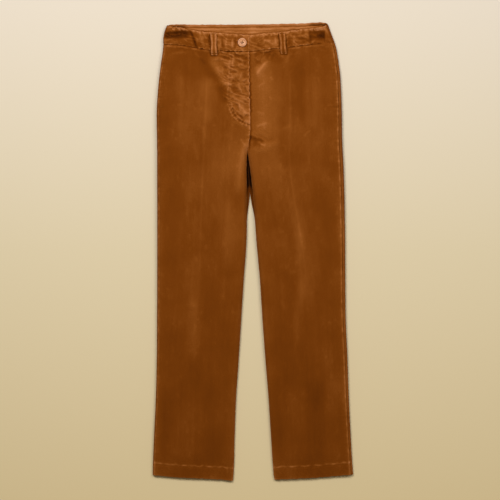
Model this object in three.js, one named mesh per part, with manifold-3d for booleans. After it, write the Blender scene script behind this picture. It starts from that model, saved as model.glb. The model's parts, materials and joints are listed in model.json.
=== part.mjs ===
// Corduroy trousers laid flat on their back, closed at the waist with one button.
// Millimetres. +Y runs up to the waist, +Z points away from the surface they lie on.
// Left and right are the wearer's, so the right leg lies at -X.
import * as THREE from "three";
import Module from "manifold-3d";

const wasm = await Module();
wasm.setup();

// Cloth and seams
const CLOTH = 1.6; // needlecord with its pile
const HEM_CLOTH = 2.8; // cord turned up and sewn on itself
const BAND_CLOTH = 2.6; // two layers with interfacing
const SEAM_GAP = 0.3;
const HEM_DEPTH = 30;
const HEM_STEP = 3;

// Shape of a laid leg in section: a flat back, rolled sides and a crowned front
const ROLL_SHARE = 0.75; // width of the front's roll, as a share of the crown
const SEAM_SHARE = 0.36; // height of the side fold, as a share of the crown
const BACK_ROLL_SHARE = 0.4; // width of the back's roll, as a share of the crown
const CREASE = { rise: 1.5, width: 7, from: 455, fade: 60 };
const CENTRE_DIP = { depth: 1.5, width: 26 };

// Where the two legs part, and how the fly and the waistband lap, right over left
const CROTCH = { from: 262, to: 214 };
const FLY = { lap: 14, end: 300, fade: 16, lift: CLOTH + 0.5, ramp: 26 };
const BAND = { proud: 0.8, lap: 34, lift: BAND_CLOTH + 0.5, ramp: 34, height: 38 };

const BUTTON = { x: -25.5, y: 491, radius: 10, thick: 3.4, rim: 1.6, well: 1.1, hole: 1.1, pitch: 4.4 };
const LOOP = { width: 12, thick: 1.6, rest: 0.45, stand: 2.2, sewn: 9 };
const BACK_LOOP = { thick: 1.9, clear: 0.5, flat: 9, fade: 18 };

// What hangs inside: a bag behind each pocket mouth in the side seam, and the fly's zip
const BAG = { thick: 1.2, clear: 0.7, top: 466, foot: 258, nearSeam: 70, nearCrease: 45, reach: 1.62 };
const ZIP = { thick: 1.5, clear: 0.8, from: -36, to: -13, top: 467, foot: 306 };

const { lerp, smoothstep } = THREE.MathUtils;

// A table with named columns, one object for each row
const table = (names, rows) =>
  rows.map((row) => Object.fromEntries(names.map((name, i) => [name, row[i]])));

// Seams and crown of the laid garment, read down from the top edge of the waistband
const SECTIONS = table(
  ["y", "rightOut", "rightCrease", "rightIn", "leftIn", "leftCrease", "leftOut", "crown"],
  [
    [540, -198, -108, -8.5, -8.5, 87, 174, 14],
    [521, -207, -108, -8.5, -8.5, 87, 181, 14.3],
    [502, -211, -108, -8.5, -8.5, 87, 188, 14.8],
    [485, -211, -108, -8.5, -8.5, 87, 194, 15.3],
    [469, -212.5, -108, -9, -9, 87, 197.5, 15.8],
    [446, -216, -108, -9, -9, 87, 201, 16.6],
    [415, -220, -109, -9, -9, 87, 205, 17.6],
    [380, -223.5, -109.5, -8.5, -8.5, 87, 207, 18.6],
    [333, -226.5, -110.5, -7, -7, 87, 208.7, 20],
    [286, -226.3, -113, -6.5, -6.5, 87, 209.3, 21],
    [255, -225.8, -114.5, -9.5, -9.5, 86, 210, 21.5],
    [234, -225.5, -115.5, -12.5, -12.5, 86, 211, 21.5],
    [204, -225.5, -117, -15, -8.5, 86.5, 212.8, 21.5],
    [169, -225.5, -118.5, -14.5, -4, 90, 214, 21],
    [122, -225.3, -120.5, -14.5, 1, 97, 215.3, 20.5],
    [28, -225.3, -123, -15, 7.5, 113, 216.6, 19.5],
    [-66, -225.4, -125.5, -21.5, 16, 125, 217, 18],
    [-160, -225.8, -132, -27.5, 22, 128, 218.2, 16.8],
    [-255, -226.5, -136.5, -33.5, 29, 130.5, 222.3, 15.6],
    [-348, -228.8, -138, -39.7, 36.5, 133.5, 225.5, 14.5],
    [-442, -233.2, -139.5, -43, 42.5, 137.5, 230.2, 13.5],
    [-504, -235.5, -140.5, -44.5, 46.5, 141, 234, 13],
    [-545, -236, -141, -47.5, 51, 142.5, 237.75, 13],
  ],
);

// Lines that cross the garment from the wearer's right to the wearer's left
const FRONT_SEAM = table(["x", "y"], [
  [-215, 488], [-170, 485.5], [-140, 480.5], [-110, 475], [-80, 472.5], [-45, 471], [-8, 471],
  [25, 474.5], [55, 478], [85, 480.5], [115, 484.5], [150, 488.5], [200, 489.5],
]);
const FRONT_RIM = table(["x", "y"], [
  [-207, 530], [-198, 528.5], [-189, 525.5], [-171, 522.5], [-148, 520.5], [-120, 517], [-88, 514.5],
  [-52, 512], [-8, 509.5], [22, 512.5], [60, 515.5], [90, 519], [115, 522.5], [150, 525.5], [165, 528.5],
  [174, 533], [182, 535.5],
]);
const BACK_SEAM = table(["x", "y"], [[-215, 488], [-120, 492], [0, 493.5], [110, 493.5], [200, 489.5]]);
const BACK_RIM = table(["x", "y"], [
  [-215, 528], [-196, 531.5], [-170, 533.3], [-120, 534], [-20, 534.6], [110, 537], [148, 539], [162, 539.2],
  [174, 536.8], [190, 532.5],
]);
const HEM = table(["x", "y"], [
  [-240, -525], [-178, -531], [-124, -533.5], [-68, -536.5], [-47, -539], [50, -536], [141, -532],
  [202, -527], [240, -524],
]);

// Folds of the front: from one point to another, bowed sideways, raised or sunk
const FOLDS = table(
  ["name", "x0", "y0", "x1", "y1", "bow", "width", "rise"],
  [
    ["right hip pleat, its shadow side", -143, 498, -96, 400, -9, 11, -2.2],
    ["right hip pleat, its lit side", -112, 462, -60, 372, -8, 12, 2.6],
    ["hollow beside the right fly", -104, 424, -62, 366, -4, 9, -2],
    ["fold round the foot of the fly", -64, 372, -6, 288, -14, 10, 2.2],
    ["right hip, long soft fold", -172, 452, -168, 240, 0, 14, 1.2],
    ["right inner thigh", -14, 276, -36, 120, 3, 9, 1.8],
    ["hollow beside the left fly", 0, 459, 62, 468, 0, 9, -2.4],
    ["left pull towards the loop", 4, 408, 42, 452, 0, 8, 2.6],
    ["left hip, hollow beside the crease", 106, 470, 112, 280, 0, 12, -2],
    ["left hip, long soft fold", 140, 470, 155, 250, 2, 15, 2],
    ["left crotch hollow", -4, 266, 30, 250, 0, 8, -2.2],
    ["left crotch drag", -6, 240, 66, 262, 6, 9, 1.6],
    ["left thigh", 92, 150, 122, -20, 4, 13, 1.4],
    ["left knee", 126, -30, 96, -260, 5, 14, 1.5],
    ["right knee", -138, -90, -136, -280, 0, 12, 1.2],
    ["right thigh, inner side", -60, 150, -52, -60, 3, 16, 1],
    ["left shin", 176, -180, 184, -420, 0, 16, 1],
    ["right shin, inner side", -86, -220, -84, -440, 0, 15, 0.9],
  ],
);

// Places where the front waistband buckles inwards, just under its top edge
const BUCKLES = table(
  ["x0", "x1", "below", "width", "depth", "bulge"],
  [
    [-196, -148, 13, 7, 7, 1.6],
    [112, 172, 15, 8, 7, 0.6],
  ],
);

const FRONT_LOOPS = table(["name", "xTop", "yTop", "xFoot", "yFoot"], [
  ["belt_loop_front_right", -93.5, 513.5, -90.5, 461],
  ["belt_loop_front_left", 67.5, 514.5, 72.5, 464.5],
]);
const BACK_LOOPS = table(["name", "x"], [
  ["belt_loop_back_right", -96],
  ["belt_loop_back_centre", -8],
  ["belt_loop_back_left", 80],
]);

// towards: the direction from the side seam to the centre. turn: how far over the side fold
// the back panel reaches before it meets the front, as a share of a quarter turn.
const RIGHT = { out: "rightOut", crease: "rightCrease", inner: "rightIn", towards: 1, turn: 0.3 };
const LEFT = { out: "leftOut", crease: "leftCrease", inner: "leftIn", towards: -1, turn: 0.62 };

const CORD = new THREE.MeshStandardMaterial({ color: "#7c3f12", roughness: 0.95, metalness: 0 });
const POCKETING = new THREE.MeshStandardMaterial({ color: "#6b4a2c", roughness: 0.9, metalness: 0 });
const ZIP_TAPE = new THREE.MeshStandardMaterial({ color: "#5d3412", roughness: 0.8, metalness: 0 });
const HORN = new THREE.MeshStandardMaterial({ color: "#d69a66", roughness: 0.45, metalness: 0 });

// Smooth value of a column at a place along a table
function read(rows, key, column, place) {
  const rising = rows[0][key] < rows[1][key];
  const last = rows.length - 2;
  const beyond = (value) => (rising ? value > place : value < place);
  let i = rows.findIndex((row, k) => k < last && beyond(rows[k + 1][key]));
  if (i < 0) i = last;
  const slope = (k) => {
    const a = rows[Math.max(k - 1, 0)];
    const b = rows[Math.min(k + 1, rows.length - 1)];
    return (b[column] - a[column]) / (b[key] - a[key]);
  };
  const span = rows[i + 1][key] - rows[i][key];
  const t = (place - rows[i][key]) / span;
  if (t < 0) return rows[i][column] + slope(i) * (place - rows[i][key]);
  if (t > 1) return rows[i + 1][column] + slope(i + 1) * (place - rows[i + 1][key]);
  const ease = t * t * (3 - 2 * t);
  const bend = span * (slope(i) * t * (1 - t) ** 2 - slope(i + 1) * t * t * (1 - t));
  return lerp(rows[i][column], rows[i + 1][column], ease) + bend;
}

const section = (column, y) => read(SECTIONS, "y", column, y);
const line = (rows, x) => read(rows, "x", "y", x);
const legShare = (y) => 1 - smoothstep(y, CROTCH.to, CROTCH.from);
const centreLine = (y) => section("rightIn", Math.max(y, CROTCH.to));

// Sum of the folds at a point of the front
function relief(x, y) {
  let sum = 0;
  for (const fold of FOLDS) {
    const dx = fold.x1 - fold.x0;
    const dy = fold.y1 - fold.y0;
    const length = Math.hypot(dx, dy);
    const t = ((x - fold.x0) * dx + (y - fold.y0) * dy) / length ** 2;
    if (t <= 0 || t >= 1) continue;
    const aside = ((x - fold.x0) * dy - (y - fold.y0) * dx) / length - fold.bow * 4 * t * (1 - t);
    const fade = smoothstep(t, 0, 0.25) * (1 - smoothstep(t, 0.75, 1));
    sum += fold.rise * fade * Math.exp(-((aside / fold.width) ** 2));
  }
  return sum;
}

// Outer face of the front cloth, away from the rolled sides
function frontTop(x, y) {
  const legs = legShare(y);
  const side = x < centreLine(y) ? "rightCrease" : "leftCrease";
  const pressed = Math.exp(-(((x - section(side, y)) / CREASE.width) ** 2));
  const crease = CREASE.rise * pressed * (1 - smoothstep(y, CREASE.from - CREASE.fade, CREASE.from));
  const dip = CENTRE_DIP.depth * Math.exp(-(((x - centreLine(y)) / CENTRE_DIP.width) ** 2)) * (1 - legs);
  return section("crown", y) - dip + crease + relief(x, y);
}

// Rise of the right fly edge over the left, and of the waistband's tab
function lapLift(x, y, lap, size, end) {
  const free = centreLine(y) - lap - 3;
  const across = smoothstep(x, free - size.ramp, free);
  return size.lift * across * smoothstep(y, end - 3 * FLY.fade, end - FLY.fade);
}

function panelTop(side, x, y) {
  return frontTop(x, y) + (side === RIGHT ? lapLift(x, y, FLY.lap, FLY, FLY.end) : 0);
}

// Outer face of the front waistband
function bandTop(side, x, y) {
  let top = frontTop(x, y) + BAND.proud;
  if (side === RIGHT) top += lapLift(x, y, BAND.lap, BAND, FLY.end);
  for (const buckle of BUCKLES) {
    const begun = smoothstep(x, buckle.x0 - 6, buckle.x0 + 4);
    const within = begun * (1 - smoothstep(x, buckle.x1 - 8, buckle.x1 + 4));
    const down = line(FRONT_RIM, x) - y;
    top -= buckle.depth * within * Math.exp(-(((down - buckle.below) / buckle.width) ** 2));
    top += buckle.bulge * within * smoothstep(down, buckle.below + 8, BAND.height);
  }
  return top;
}

// A point of the front at height y. across runs from 0 at the side fold, over the roll (1) and the
// crease (2), to the inner roll (3) and the centre or inside leg (4).
function frontPoint(side, across, y, inner, topAt) {
  const crown = section("crown", y);
  const roll = crown * ROLL_SHARE;
  const foldZ = crown * SEAM_SHARE;
  const out = section(side.out, y);
  const crease = section(side.crease, y);
  const legs = legShare(y);
  let x;
  let rise = 1;
  if (across < 1) {
    const turn = (across * Math.PI) / 2;
    x = out + side.towards * roll * (1 - Math.cos(turn));
    rise = Math.sin(turn);
  } else if (across < 2) {
    x = lerp(out + side.towards * roll, crease, across - 1);
  } else if (across < 3) {
    x = lerp(crease, inner - side.towards * roll, across - 2);
  } else {
    const turn = ((4 - across) * Math.PI) / 2;
    x = inner - side.towards * roll * lerp(4 - across, 1 - Math.cos(turn), legs);
    rise = lerp(1, Math.sin(turn), legs);
  }
  return new THREE.Vector3(x, y, foldZ + (topAt(side, x, y) - foldZ) * rise);
}

// The back lifts a little over the belt loops that lie under it
function overLoops(x, y) {
  let lift = 0;
  for (const loop of BACK_LOOPS) {
    const away = Math.abs(x - loop.x) - BACK_LOOP.flat;
    lift = Math.max(lift, 1 - THREE.MathUtils.clamp(away / BACK_LOOP.fade, 0, 1));
  }
  return (BACK_LOOP.thick + BACK_LOOP.clear) * lift * smoothstep(y, 430, 478);
}

// A point of the back. across runs from below 0 on the front's roll, by 0 at the side fold and 1 on the
// flat, to the inner roll (2) and the centre or inside leg (3).
function backPoint(side, across, y, inner, topAt) {
  const crown = section("crown", y);
  const foldZ = crown * SEAM_SHARE;
  const roll = crown * BACK_ROLL_SHARE;
  const out = section(side.out, y);
  const legs = legShare(y);
  if (across < 0) {
    const turn = (-across * Math.PI) / 2;
    const x = out + side.towards * crown * ROLL_SHARE * (1 - Math.cos(turn));
    return new THREE.Vector3(x, y, foldZ + (topAt(side, x, y) - foldZ) * Math.sin(turn));
  }
  if (across < 1) {
    const turn = (across * Math.PI) / 2;
    const x = out + side.towards * roll * (1 - Math.cos(turn));
    return new THREE.Vector3(x, y, foldZ * (1 - Math.sin(turn)));
  }
  if (across < 2) {
    const x = lerp(out + side.towards * roll, inner - side.towards * roll, across - 1);
    return new THREE.Vector3(x, y, overLoops(x, y));
  }
  const turn = ((3 - across) * Math.PI) / 2;
  const x = inner - side.towards * roll * lerp(3 - across, 1 - Math.cos(turn), legs);
  return new THREE.Vector3(x, y, foldZ * (1 - Math.sin(turn)) * legs + overLoops(x, y));
}

// Inner edges. The left front runs on under the right one as far as the fly is open.
const centreGap = (side, y) => (-side.towards * SEAM_GAP * (1 - legShare(y))) / 2;
const plainInner = (side, y) => section(side.inner, y) + centreGap(side, y);

function frontInner(side, y) {
  if (side === RIGHT) return plainInner(side, y);
  return plainInner(side, y) - FLY.lap * smoothstep(y, FLY.end, FLY.end + FLY.fade);
}

const bandInner = (side, y) => plainInner(side, y) - (side === LEFT ? BAND.lap : 0);

// The height at which a column crosses one of the lines from side to side
function meet(pointAt, across, rows, offset, start) {
  let y = start;
  for (let i = 0; i < 6; i++) y = line(rows, pointAt(across, y).x) + offset;
  return y;
}

// Outward direction of a surface, from two short steps across it. facing is 1 or -1.
function outward(pointAt, u, v, facing) {
  const nudge = 1e-3;
  const du = pointAt(u + nudge, v).sub(pointAt(u - nudge, v));
  const dv = pointAt(u, v + nudge).sub(pointAt(u, v - nudge));
  return du.cross(dv).normalize().multiplyScalar(facing);
}

// The same surface moved in, for what lies against its inside
const beneath = (pointAt, facing, depth) => (u, v) =>
  pointAt(u, v).addScaledVector(outward(pointAt, u, v, facing), -depth);

// A wall of cloth: the outer points, the same points moved in by the thickness, and the edges between them
function wall(name, pointAt, columns, rows, facing, thicknessAt, material = CORD) {
  const outer = [];
  const inside = [];
  for (const v of rows) {
    for (const u of columns) {
      const normal = outward(pointAt, u, v, facing);
      if (v === rows[0] || v === rows.at(-1)) normal.setY(0).normalize();
      const point = pointAt(u, v);
      outer.push(point);
      inside.push(point.clone().addScaledVector(normal, -thicknessAt(u, v)));
    }
  }
  const wide = columns.length;
  const count = outer.length;
  const faces = [];
  const quad = (a, b, c, d) => faces.push(...(facing > 0 ? [a, b, c, a, c, d] : [a, c, b, a, d, c]));
  for (let j = 0; j < rows.length - 1; j++) {
    for (let i = 0; i < wide - 1; i++) {
      const a = j * wide + i;
      quad(a, a + 1, a + wide + 1, a + wide);
      quad(count + a, count + a + wide, count + a + wide + 1, count + a + 1);
    }
    const first = j * wide;
    const end = first + wide - 1;
    quad(first, first + wide, count + first + wide, count + first);
    quad(end, count + end, count + end + wide, end + wide);
  }
  const foot = (rows.length - 1) * wide;
  for (let i = 0; i < wide - 1; i++) {
    quad(i, count + i, count + i + 1, i + 1);
    quad(foot + i, foot + i + 1, count + foot + i + 1, count + foot + i);
  }
  const places = [...outer, ...inside].flatMap((point) => point.toArray());
  const geometry = new THREE.BufferGeometry();
  geometry.setAttribute("position", new THREE.Float32BufferAttribute(places, 3));
  geometry.setIndex(faces);
  const mesh = new THREE.Mesh(geometry, material);
  mesh.name = name;
  return mesh;
}

const steps = (from, to, count) => Array.from({ length: count + 1 }, (_, i) => lerp(from, to, i / count));

// Columns of a front piece: close together on the rolls, even between them
function frontColumns(side) {
  const cells = 6;
  const seam = side.turn + 0.012;
  const roll = steps(seam, 1, side.turn > 0.5 ? 2 : 3);
  return [...roll, ...steps(1, 2, cells).slice(1), ...steps(2, 3, cells).slice(1), 3.3, 3.6, 3.85, 3.98];
}

// Rows of a leg: closer together over the hips, then even down to the hem's step
const LEG_ROWS = (() => {
  const length = 1010;
  const hem = 1 - HEM_DEPTH / length;
  return [...steps(0, 0.28, 14), ...steps(0.28, hem - HEM_STEP / length, 22).slice(1), hem, 1];
})();

const hemThickness = (u, v) => (v > LEG_ROWS.at(-3) + 1e-6 ? HEM_CLOTH : CLOTH);

function frontLeg(name, side) {
  const at = (u, y) => frontPoint(side, u, y, frontInner(side, y), panelTop);
  const ends = new Map();
  const pointAt = (u, v) => {
    if (!ends.has(u)) ends.set(u, [meet(at, u, FRONT_SEAM, -SEAM_GAP / 2, 480), meet(at, u, HEM, 0, -530)]);
    const [top, foot] = ends.get(u);
    return at(u, lerp(top, foot, v));
  };
  return wall(name, pointAt, frontColumns(side), LEG_ROWS, -side.towards, hemThickness);
}

function backLeg(name, side) {
  const at = (u, y) => backPoint(side, u, y, plainInner(side, y), panelTop);
  const ends = new Map();
  const pointAt = (u, v) => {
    if (!ends.has(u)) ends.set(u, [meet(at, u, BACK_SEAM, -SEAM_GAP / 2, 490), meet(at, u, HEM, 0, -530)]);
    const [top, foot] = ends.get(u);
    return at(u, lerp(top, foot, v));
  };
  const over = steps(0.012 - side.turn, 0, side.turn > 0.5 ? 2 : 1);
  const waist = line(BACK_SEAM, 0);
  const [start, end] = [1, 2].map((u) => at(u, waist).x);
  const flat = loopStations((x) => 1 + (x - start) / (end - start)).filter((u) => u > 1.05 && u < 1.95);
  const columns = [...over, 0.33, 0.66, 1, ...flat, 2, 2.34, 2.67, 2.97];
  return wall(name, pointAt, columns, LEG_ROWS, side.towards, hemThickness);
}

function frontBand(name, side) {
  const at = (u, y) => frontPoint(side, u, y, bandInner(side, y), bandTop);
  const ends = new Map();
  const pointAt = (u, v) => {
    const seam = () => meet(at, u, FRONT_SEAM, SEAM_GAP / 2, 480);
    if (!ends.has(u)) ends.set(u, [seam(), meet(at, u, FRONT_RIM, 0, 520)]);
    const [foot, top] = ends.get(u);
    return at(u, lerp(top, foot, v));
  };
  return wall(name, pointAt, frontColumns(side), steps(0, 1, 8), -side.towards, () => BAND_CLOTH);
}

function backBand(name) {
  const at = (u, y) => {
    const side = u < 2 ? RIGHT : LEFT;
    return backPoint(side, u < 2 ? u : 4 - u, y, centreLine(y), bandTop);
  };
  // The flat runs from the right roll (1) to the left roll (3). Its columns stand upright,
  // except near the rolls, which they follow.
  const level = 510;
  const right = at(1, level).x;
  const left = at(3, level).x;
  const flatAt = (u, y) => {
    if (u <= 1 || u >= 3) return at(u, y);
    const t = (u - 1) / 2;
    const nearRight = (at(1, y).x - right) * (1 - smoothstep(t, 0, 0.14));
    const nearLeft = (at(3, y).x - left) * smoothstep(t, 0.86, 1);
    const x = lerp(right, left, t) + nearRight + nearLeft;
    return new THREE.Vector3(x, y, overLoops(x, y));
  };
  const ends = new Map();
  const pointAt = (u, v) => {
    const seam = () => meet(flatAt, u, BACK_SEAM, SEAM_GAP / 2, 490);
    if (!ends.has(u)) ends.set(u, [seam(), meet(flatAt, u, BACK_RIM, 0, 535)]);
    const [foot, top] = ends.get(u);
    return flatAt(u, lerp(top, foot, v));
  };
  const across = loopStations((x) => 1 + (2 * (x - right)) / (left - right));
  const over = (turn) => steps(0.012 - turn, 0, turn > 0.5 ? 2 : 1);
  const overLeft = over(LEFT.turn).reverse().map((u) => 4 - u);
  const columns = [...over(RIGHT.turn), 0.33, 0.66, 1, ...across, 3, 3.34, 3.67, ...overLeft];
  return wall(name, pointAt, columns, steps(0, 1, 4), 1, () => BAND_CLOTH);
}

// A pocket bag, sewn in along the side seam and hanging against the inside of the front
function pocketBag(name, side) {
  const first = side.turn + 0.07;
  const at = (u, y) => frontPoint(side, u, y, frontInner(side, y), panelTop);
  const panel = (u, v) => {
    const across = (u - first) / (BAG.reach - first);
    const foot = BAG.foot + BAG.nearSeam * (1 - across) ** 3 + BAG.nearCrease * across ** 4;
    return at(u, lerp(BAG.top, foot, v));
  };
  const facing = -side.towards;
  const columns = [...steps(first, 1, 2), 1.2, 1.35, 1.5, BAG.reach];
  const surface = beneath(panel, facing, CLOTH + BAG.clear);
  return wall(name, surface, columns, steps(0, 1, 12), facing, () => BAG.thick, POCKETING);
}

// The closed zip, flat under the lapped edges of the fly
function flyZip(name) {
  const surface = (u, v) => {
    const [x, y] = [lerp(ZIP.from, ZIP.to, u), lerp(ZIP.top, ZIP.foot, v)];
    return new THREE.Vector3(x, y, frontTop(x, y) - CLOTH - ZIP.clear);
  };
  return wall(name, surface, steps(0, 1, 3), steps(0, 1, 10), -1, () => ZIP.thick, ZIP_TAPE);
}

// Columns of the flat back: at each loop, beside it where the lift ends, and between the loops
function loopStations(share) {
  const reach = BACK_LOOP.flat + BACK_LOOP.fade;
  const offsets = [-reach, -BACK_LOOP.flat, BACK_LOOP.flat, reach];
  const beside = BACK_LOOPS.flatMap((loop) => offsets.map((offset) => loop.x + offset));
  return [...beside, -180, -150, -52, 36, 130, 155].map(share).sort((a, b) => a - b);
}

// A strip that stands off the waistband in its middle and is sewn down at both ends
function frontLoop(row) {
  const side = row.xTop < 0 ? RIGHT : LEFT;
  const under = (x, y) => (y > line(FRONT_SEAM, x) - 1 ? bandTop(side, x, y) : panelTop(side, x, y));
  const highest = (x, y) => Math.max(...[-3, 0, 3].map((dy) => under(x, y + dy)));
  const pointAt = (u, v) => {
    const x = lerp(row.xTop, row.xFoot, v) + u * (LOOP.width / 2);
    const y = lerp(row.yTop, row.yFoot, v);
    const bow = LOOP.stand * Math.sin(Math.PI * THREE.MathUtils.clamp(v / 0.88, 0, 1)) ** 0.7;
    return new THREE.Vector3(x, y, highest(x, y) + LOOP.rest + LOOP.thick + bow);
  };
  const rows = [0, 0.08, 0.2, 0.38, 0.56, 0.72, 0.82, 0.9, 1];
  return wall(row.name, pointAt, [-1, -0.4, 0.4, 1], rows, -1, () => LOOP.thick);
}

// A loop under the back waistband, flat on the surface
function backLoop(row) {
  const foot = line(BACK_SEAM, row.x) - LOOP.sewn;
  const top = line(BACK_RIM, row.x) - 1;
  const geometry = new THREE.BoxGeometry(LOOP.width, top - foot, BACK_LOOP.thick);
  const mesh = new THREE.Mesh(geometry, CORD);
  mesh.name = row.name;
  mesh.position.set(row.x, (top + foot) / 2, BACK_LOOP.thick / 2);
  return mesh;
}

// A solid of revolution or a drilled pin as a manifold, and back
function solid(geometry) {
  const soup = geometry.index ? geometry.toNonIndexed() : geometry;
  const points = soup.getAttribute("position");
  const seen = new Map();
  const vertices = [];
  const faces = [];
  for (let i = 0; i < points.count; i++) {
    const exact = [points.getX(i), points.getY(i), points.getZ(i)];
    const p = exact.map((value) => Math.round(value * 1e4) / 1e4 + 0);
    const key = p.join();
    if (!seen.has(key)) {
      seen.set(key, vertices.length / 3);
      vertices.push(...p);
    }
    faces.push(seen.get(key));
  }
  const kept = [];
  for (let i = 0; i < faces.length; i += 3) {
    const [a, b, c] = faces.slice(i, i + 3);
    if (a !== b && b !== c && a !== c) kept.push(a, b, c);
  }
  const vertProperties = new Float32Array(vertices);
  const triVerts = new Uint32Array(kept);
  return new wasm.Manifold(new wasm.Mesh({ numProp: 3, vertProperties, triVerts }));
}

function meshOf(made, name, material) {
  const data = made.getMesh();
  const geometry = new THREE.BufferGeometry();
  geometry.setAttribute("position", new THREE.Float32BufferAttribute(data.vertProperties, 3));
  geometry.setIndex([...data.triVerts]);
  const mesh = new THREE.Mesh(geometry, material);
  mesh.name = name;
  return mesh;
}

// A turned four-hole button with a raised rim, lying on the waistband's tab
function trouserButton(name) {
  const { radius, thick, rim, well, hole, pitch } = BUTTON;
  const profile = [
    [0, 0], [radius - 1.4, 0], [radius - 0.3, 0.7], [radius, thick * 0.5], [radius - 0.3, thick - 0.6],
    [radius - 1, thick], [radius - rim - 0.4, thick - 0.1], [radius - rim - 1.2, thick - well],
    [0, thick - well],
  ].map(([r, z]) => new THREE.Vector2(r, z));
  let disc = solid(new THREE.LatheGeometry(profile, 40).rotateX(Math.PI / 2));
  for (const [sx, sy] of [[1, 1], [-1, 1], [-1, -1], [1, -1]]) {
    const pin = new THREE.CylinderGeometry(hole, hole, thick * 3, 14).rotateX(Math.PI / 2);
    disc = disc.subtract(solid(pin.translate((sx * pitch) / 2, (sy * pitch) / 2, 0)));
  }
  const mesh = meshOf(disc, name, HORN);
  const slope = (dx, dy) => {
    const reach = BUTTON.radius;
    const ahead = bandTop(RIGHT, BUTTON.x + dx * reach, BUTTON.y + dy * reach);
    const behind = bandTop(RIGHT, BUTTON.x - dx * reach, BUTTON.y - dy * reach);
    return (ahead - behind) / (2 * reach);
  };
  const normal = new THREE.Vector3(-slope(1, 0), -slope(0, 1), 1).normalize();
  mesh.quaternion.setFromUnitVectors(new THREE.Vector3(0, 0, 1), normal);
  mesh.position.set(BUTTON.x, BUTTON.y, bandTop(RIGHT, BUTTON.x, BUTTON.y)).addScaledVector(normal, 0.5);
  return mesh;
}

const trousers = new THREE.Group();
trousers.add(
  frontLeg("front_panel_right", RIGHT),
  frontLeg("front_panel_left", LEFT),
  backLeg("back_panel_right", RIGHT),
  backLeg("back_panel_left", LEFT),
  frontBand("waistband_front_right", RIGHT),
  frontBand("waistband_front_left", LEFT),
  backBand("waistband_back"),
  ...FRONT_LOOPS.map(frontLoop),
  ...BACK_LOOPS.map(backLoop),
  pocketBag("pocket_bag_right", RIGHT),
  pocketBag("pocket_bag_left", LEFT),
  flyZip("fly_zip"),
  trouserButton("button"),
);

export default trousers;
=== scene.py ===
# %% [markdown]
# # Needlecord trousers, laid flat
# The trousers lie on their back and are seen from straight above. The frame holds one closed solid for
# each piece that is cut and sewn. Here every piece of cloth becomes a finer shell on the same form, with
# its wrinkles, seams and stitches, and the button and the light follow. +Y runs up to the waist, and the
# wearer's right leg lies at -X.

# %% Load the frame
import functools
import json
import math

import bpy
import numpy as np
from mathutils import Matrix, Vector

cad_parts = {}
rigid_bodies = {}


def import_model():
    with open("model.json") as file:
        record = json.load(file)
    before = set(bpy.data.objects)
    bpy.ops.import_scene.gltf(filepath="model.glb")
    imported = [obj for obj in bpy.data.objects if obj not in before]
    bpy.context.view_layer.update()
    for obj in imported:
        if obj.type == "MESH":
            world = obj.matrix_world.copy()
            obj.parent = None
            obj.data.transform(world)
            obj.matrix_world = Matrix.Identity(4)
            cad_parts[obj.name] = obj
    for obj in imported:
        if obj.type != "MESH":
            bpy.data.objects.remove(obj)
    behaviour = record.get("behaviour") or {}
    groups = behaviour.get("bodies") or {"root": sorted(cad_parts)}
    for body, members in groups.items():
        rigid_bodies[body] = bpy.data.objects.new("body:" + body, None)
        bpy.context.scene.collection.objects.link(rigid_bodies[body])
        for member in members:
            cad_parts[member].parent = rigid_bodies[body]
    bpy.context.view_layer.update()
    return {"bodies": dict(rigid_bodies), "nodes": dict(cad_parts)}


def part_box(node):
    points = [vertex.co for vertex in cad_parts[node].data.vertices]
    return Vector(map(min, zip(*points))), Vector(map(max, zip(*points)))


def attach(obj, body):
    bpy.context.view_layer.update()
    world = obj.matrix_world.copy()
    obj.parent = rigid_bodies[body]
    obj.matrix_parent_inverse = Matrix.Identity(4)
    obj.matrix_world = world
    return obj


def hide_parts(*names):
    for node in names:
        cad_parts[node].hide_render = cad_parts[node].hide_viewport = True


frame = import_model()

MM = 0.001
BODY = list(frame["bodies"])[0]
rng = np.random.default_rng(7)
print("body:", BODY, "nodes:", len(frame["nodes"]))

# %% [markdown]
# ## Sizes
# A maker starts from a few measures: the thickness of the cloth, the width of the waistband, the depth of
# the hem, how far the fly laps. All sizes below are in millimetres, and `MM` turns them into metres when
# a mesh is made. The outline, the laps and their lifts are the solids' own, so each shell sits on its
# solid. The cloth is a little thinner than the solids' walls.

# %% Cloth, seams and laps
CORD = 1.3
HEM_CORD = 2.6
BAND = 2.5
SEAM_GAP = 0.3
HEM_DEPTH = 29
ROLL_SHARE = 0.75
SEAM_SHARE = 0.36
BACK_ROLL_SHARE = 0.4
CREASE_RISE, CREASE_WIDTH, CREASE_TOP, CREASE_FADE = 1.5, 7, 455, 60
DIP_DEPTH, DIP_WIDTH = 1.5, 26
CROTCH_TOP, CROTCH_FOOT = 262, 214
FLY_LAP, FLY_FOOT, FLY_FADE, FLY_LIFT, FLY_RAMP = 14, 300, 16, 2.1, 26
BAND_PROUD, BAND_LAP, BAND_LIFT, BAND_RAMP, BAND_HEIGHT = 0.8, 34, 3.1, 34, 38
LOOP_LIFT, LOOP_FLAT, LOOP_FADE = 2.4, 9, 18
TUCK, HEM_DROOP = 5, 5
WRINKLE_RISE, BAND_WRINKLE_RISE, CRUSH = 0.8, 2.2, 1.5


# %% [markdown]
# ## The sections
# Each row is a cut across the garment at one height: the two side folds, the two pressed creases, the
# inside edges, and how high the front lies above the surface. Between rows the values run smoothly, as
# cloth does. The short lists after it are lines that cross from the wearer's right to the left.

# %% Tables
def table(names, rows):
    """Columns by name, from rows that are easy to read."""
    return dict(zip(names, np.array(rows, float).T))


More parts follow.
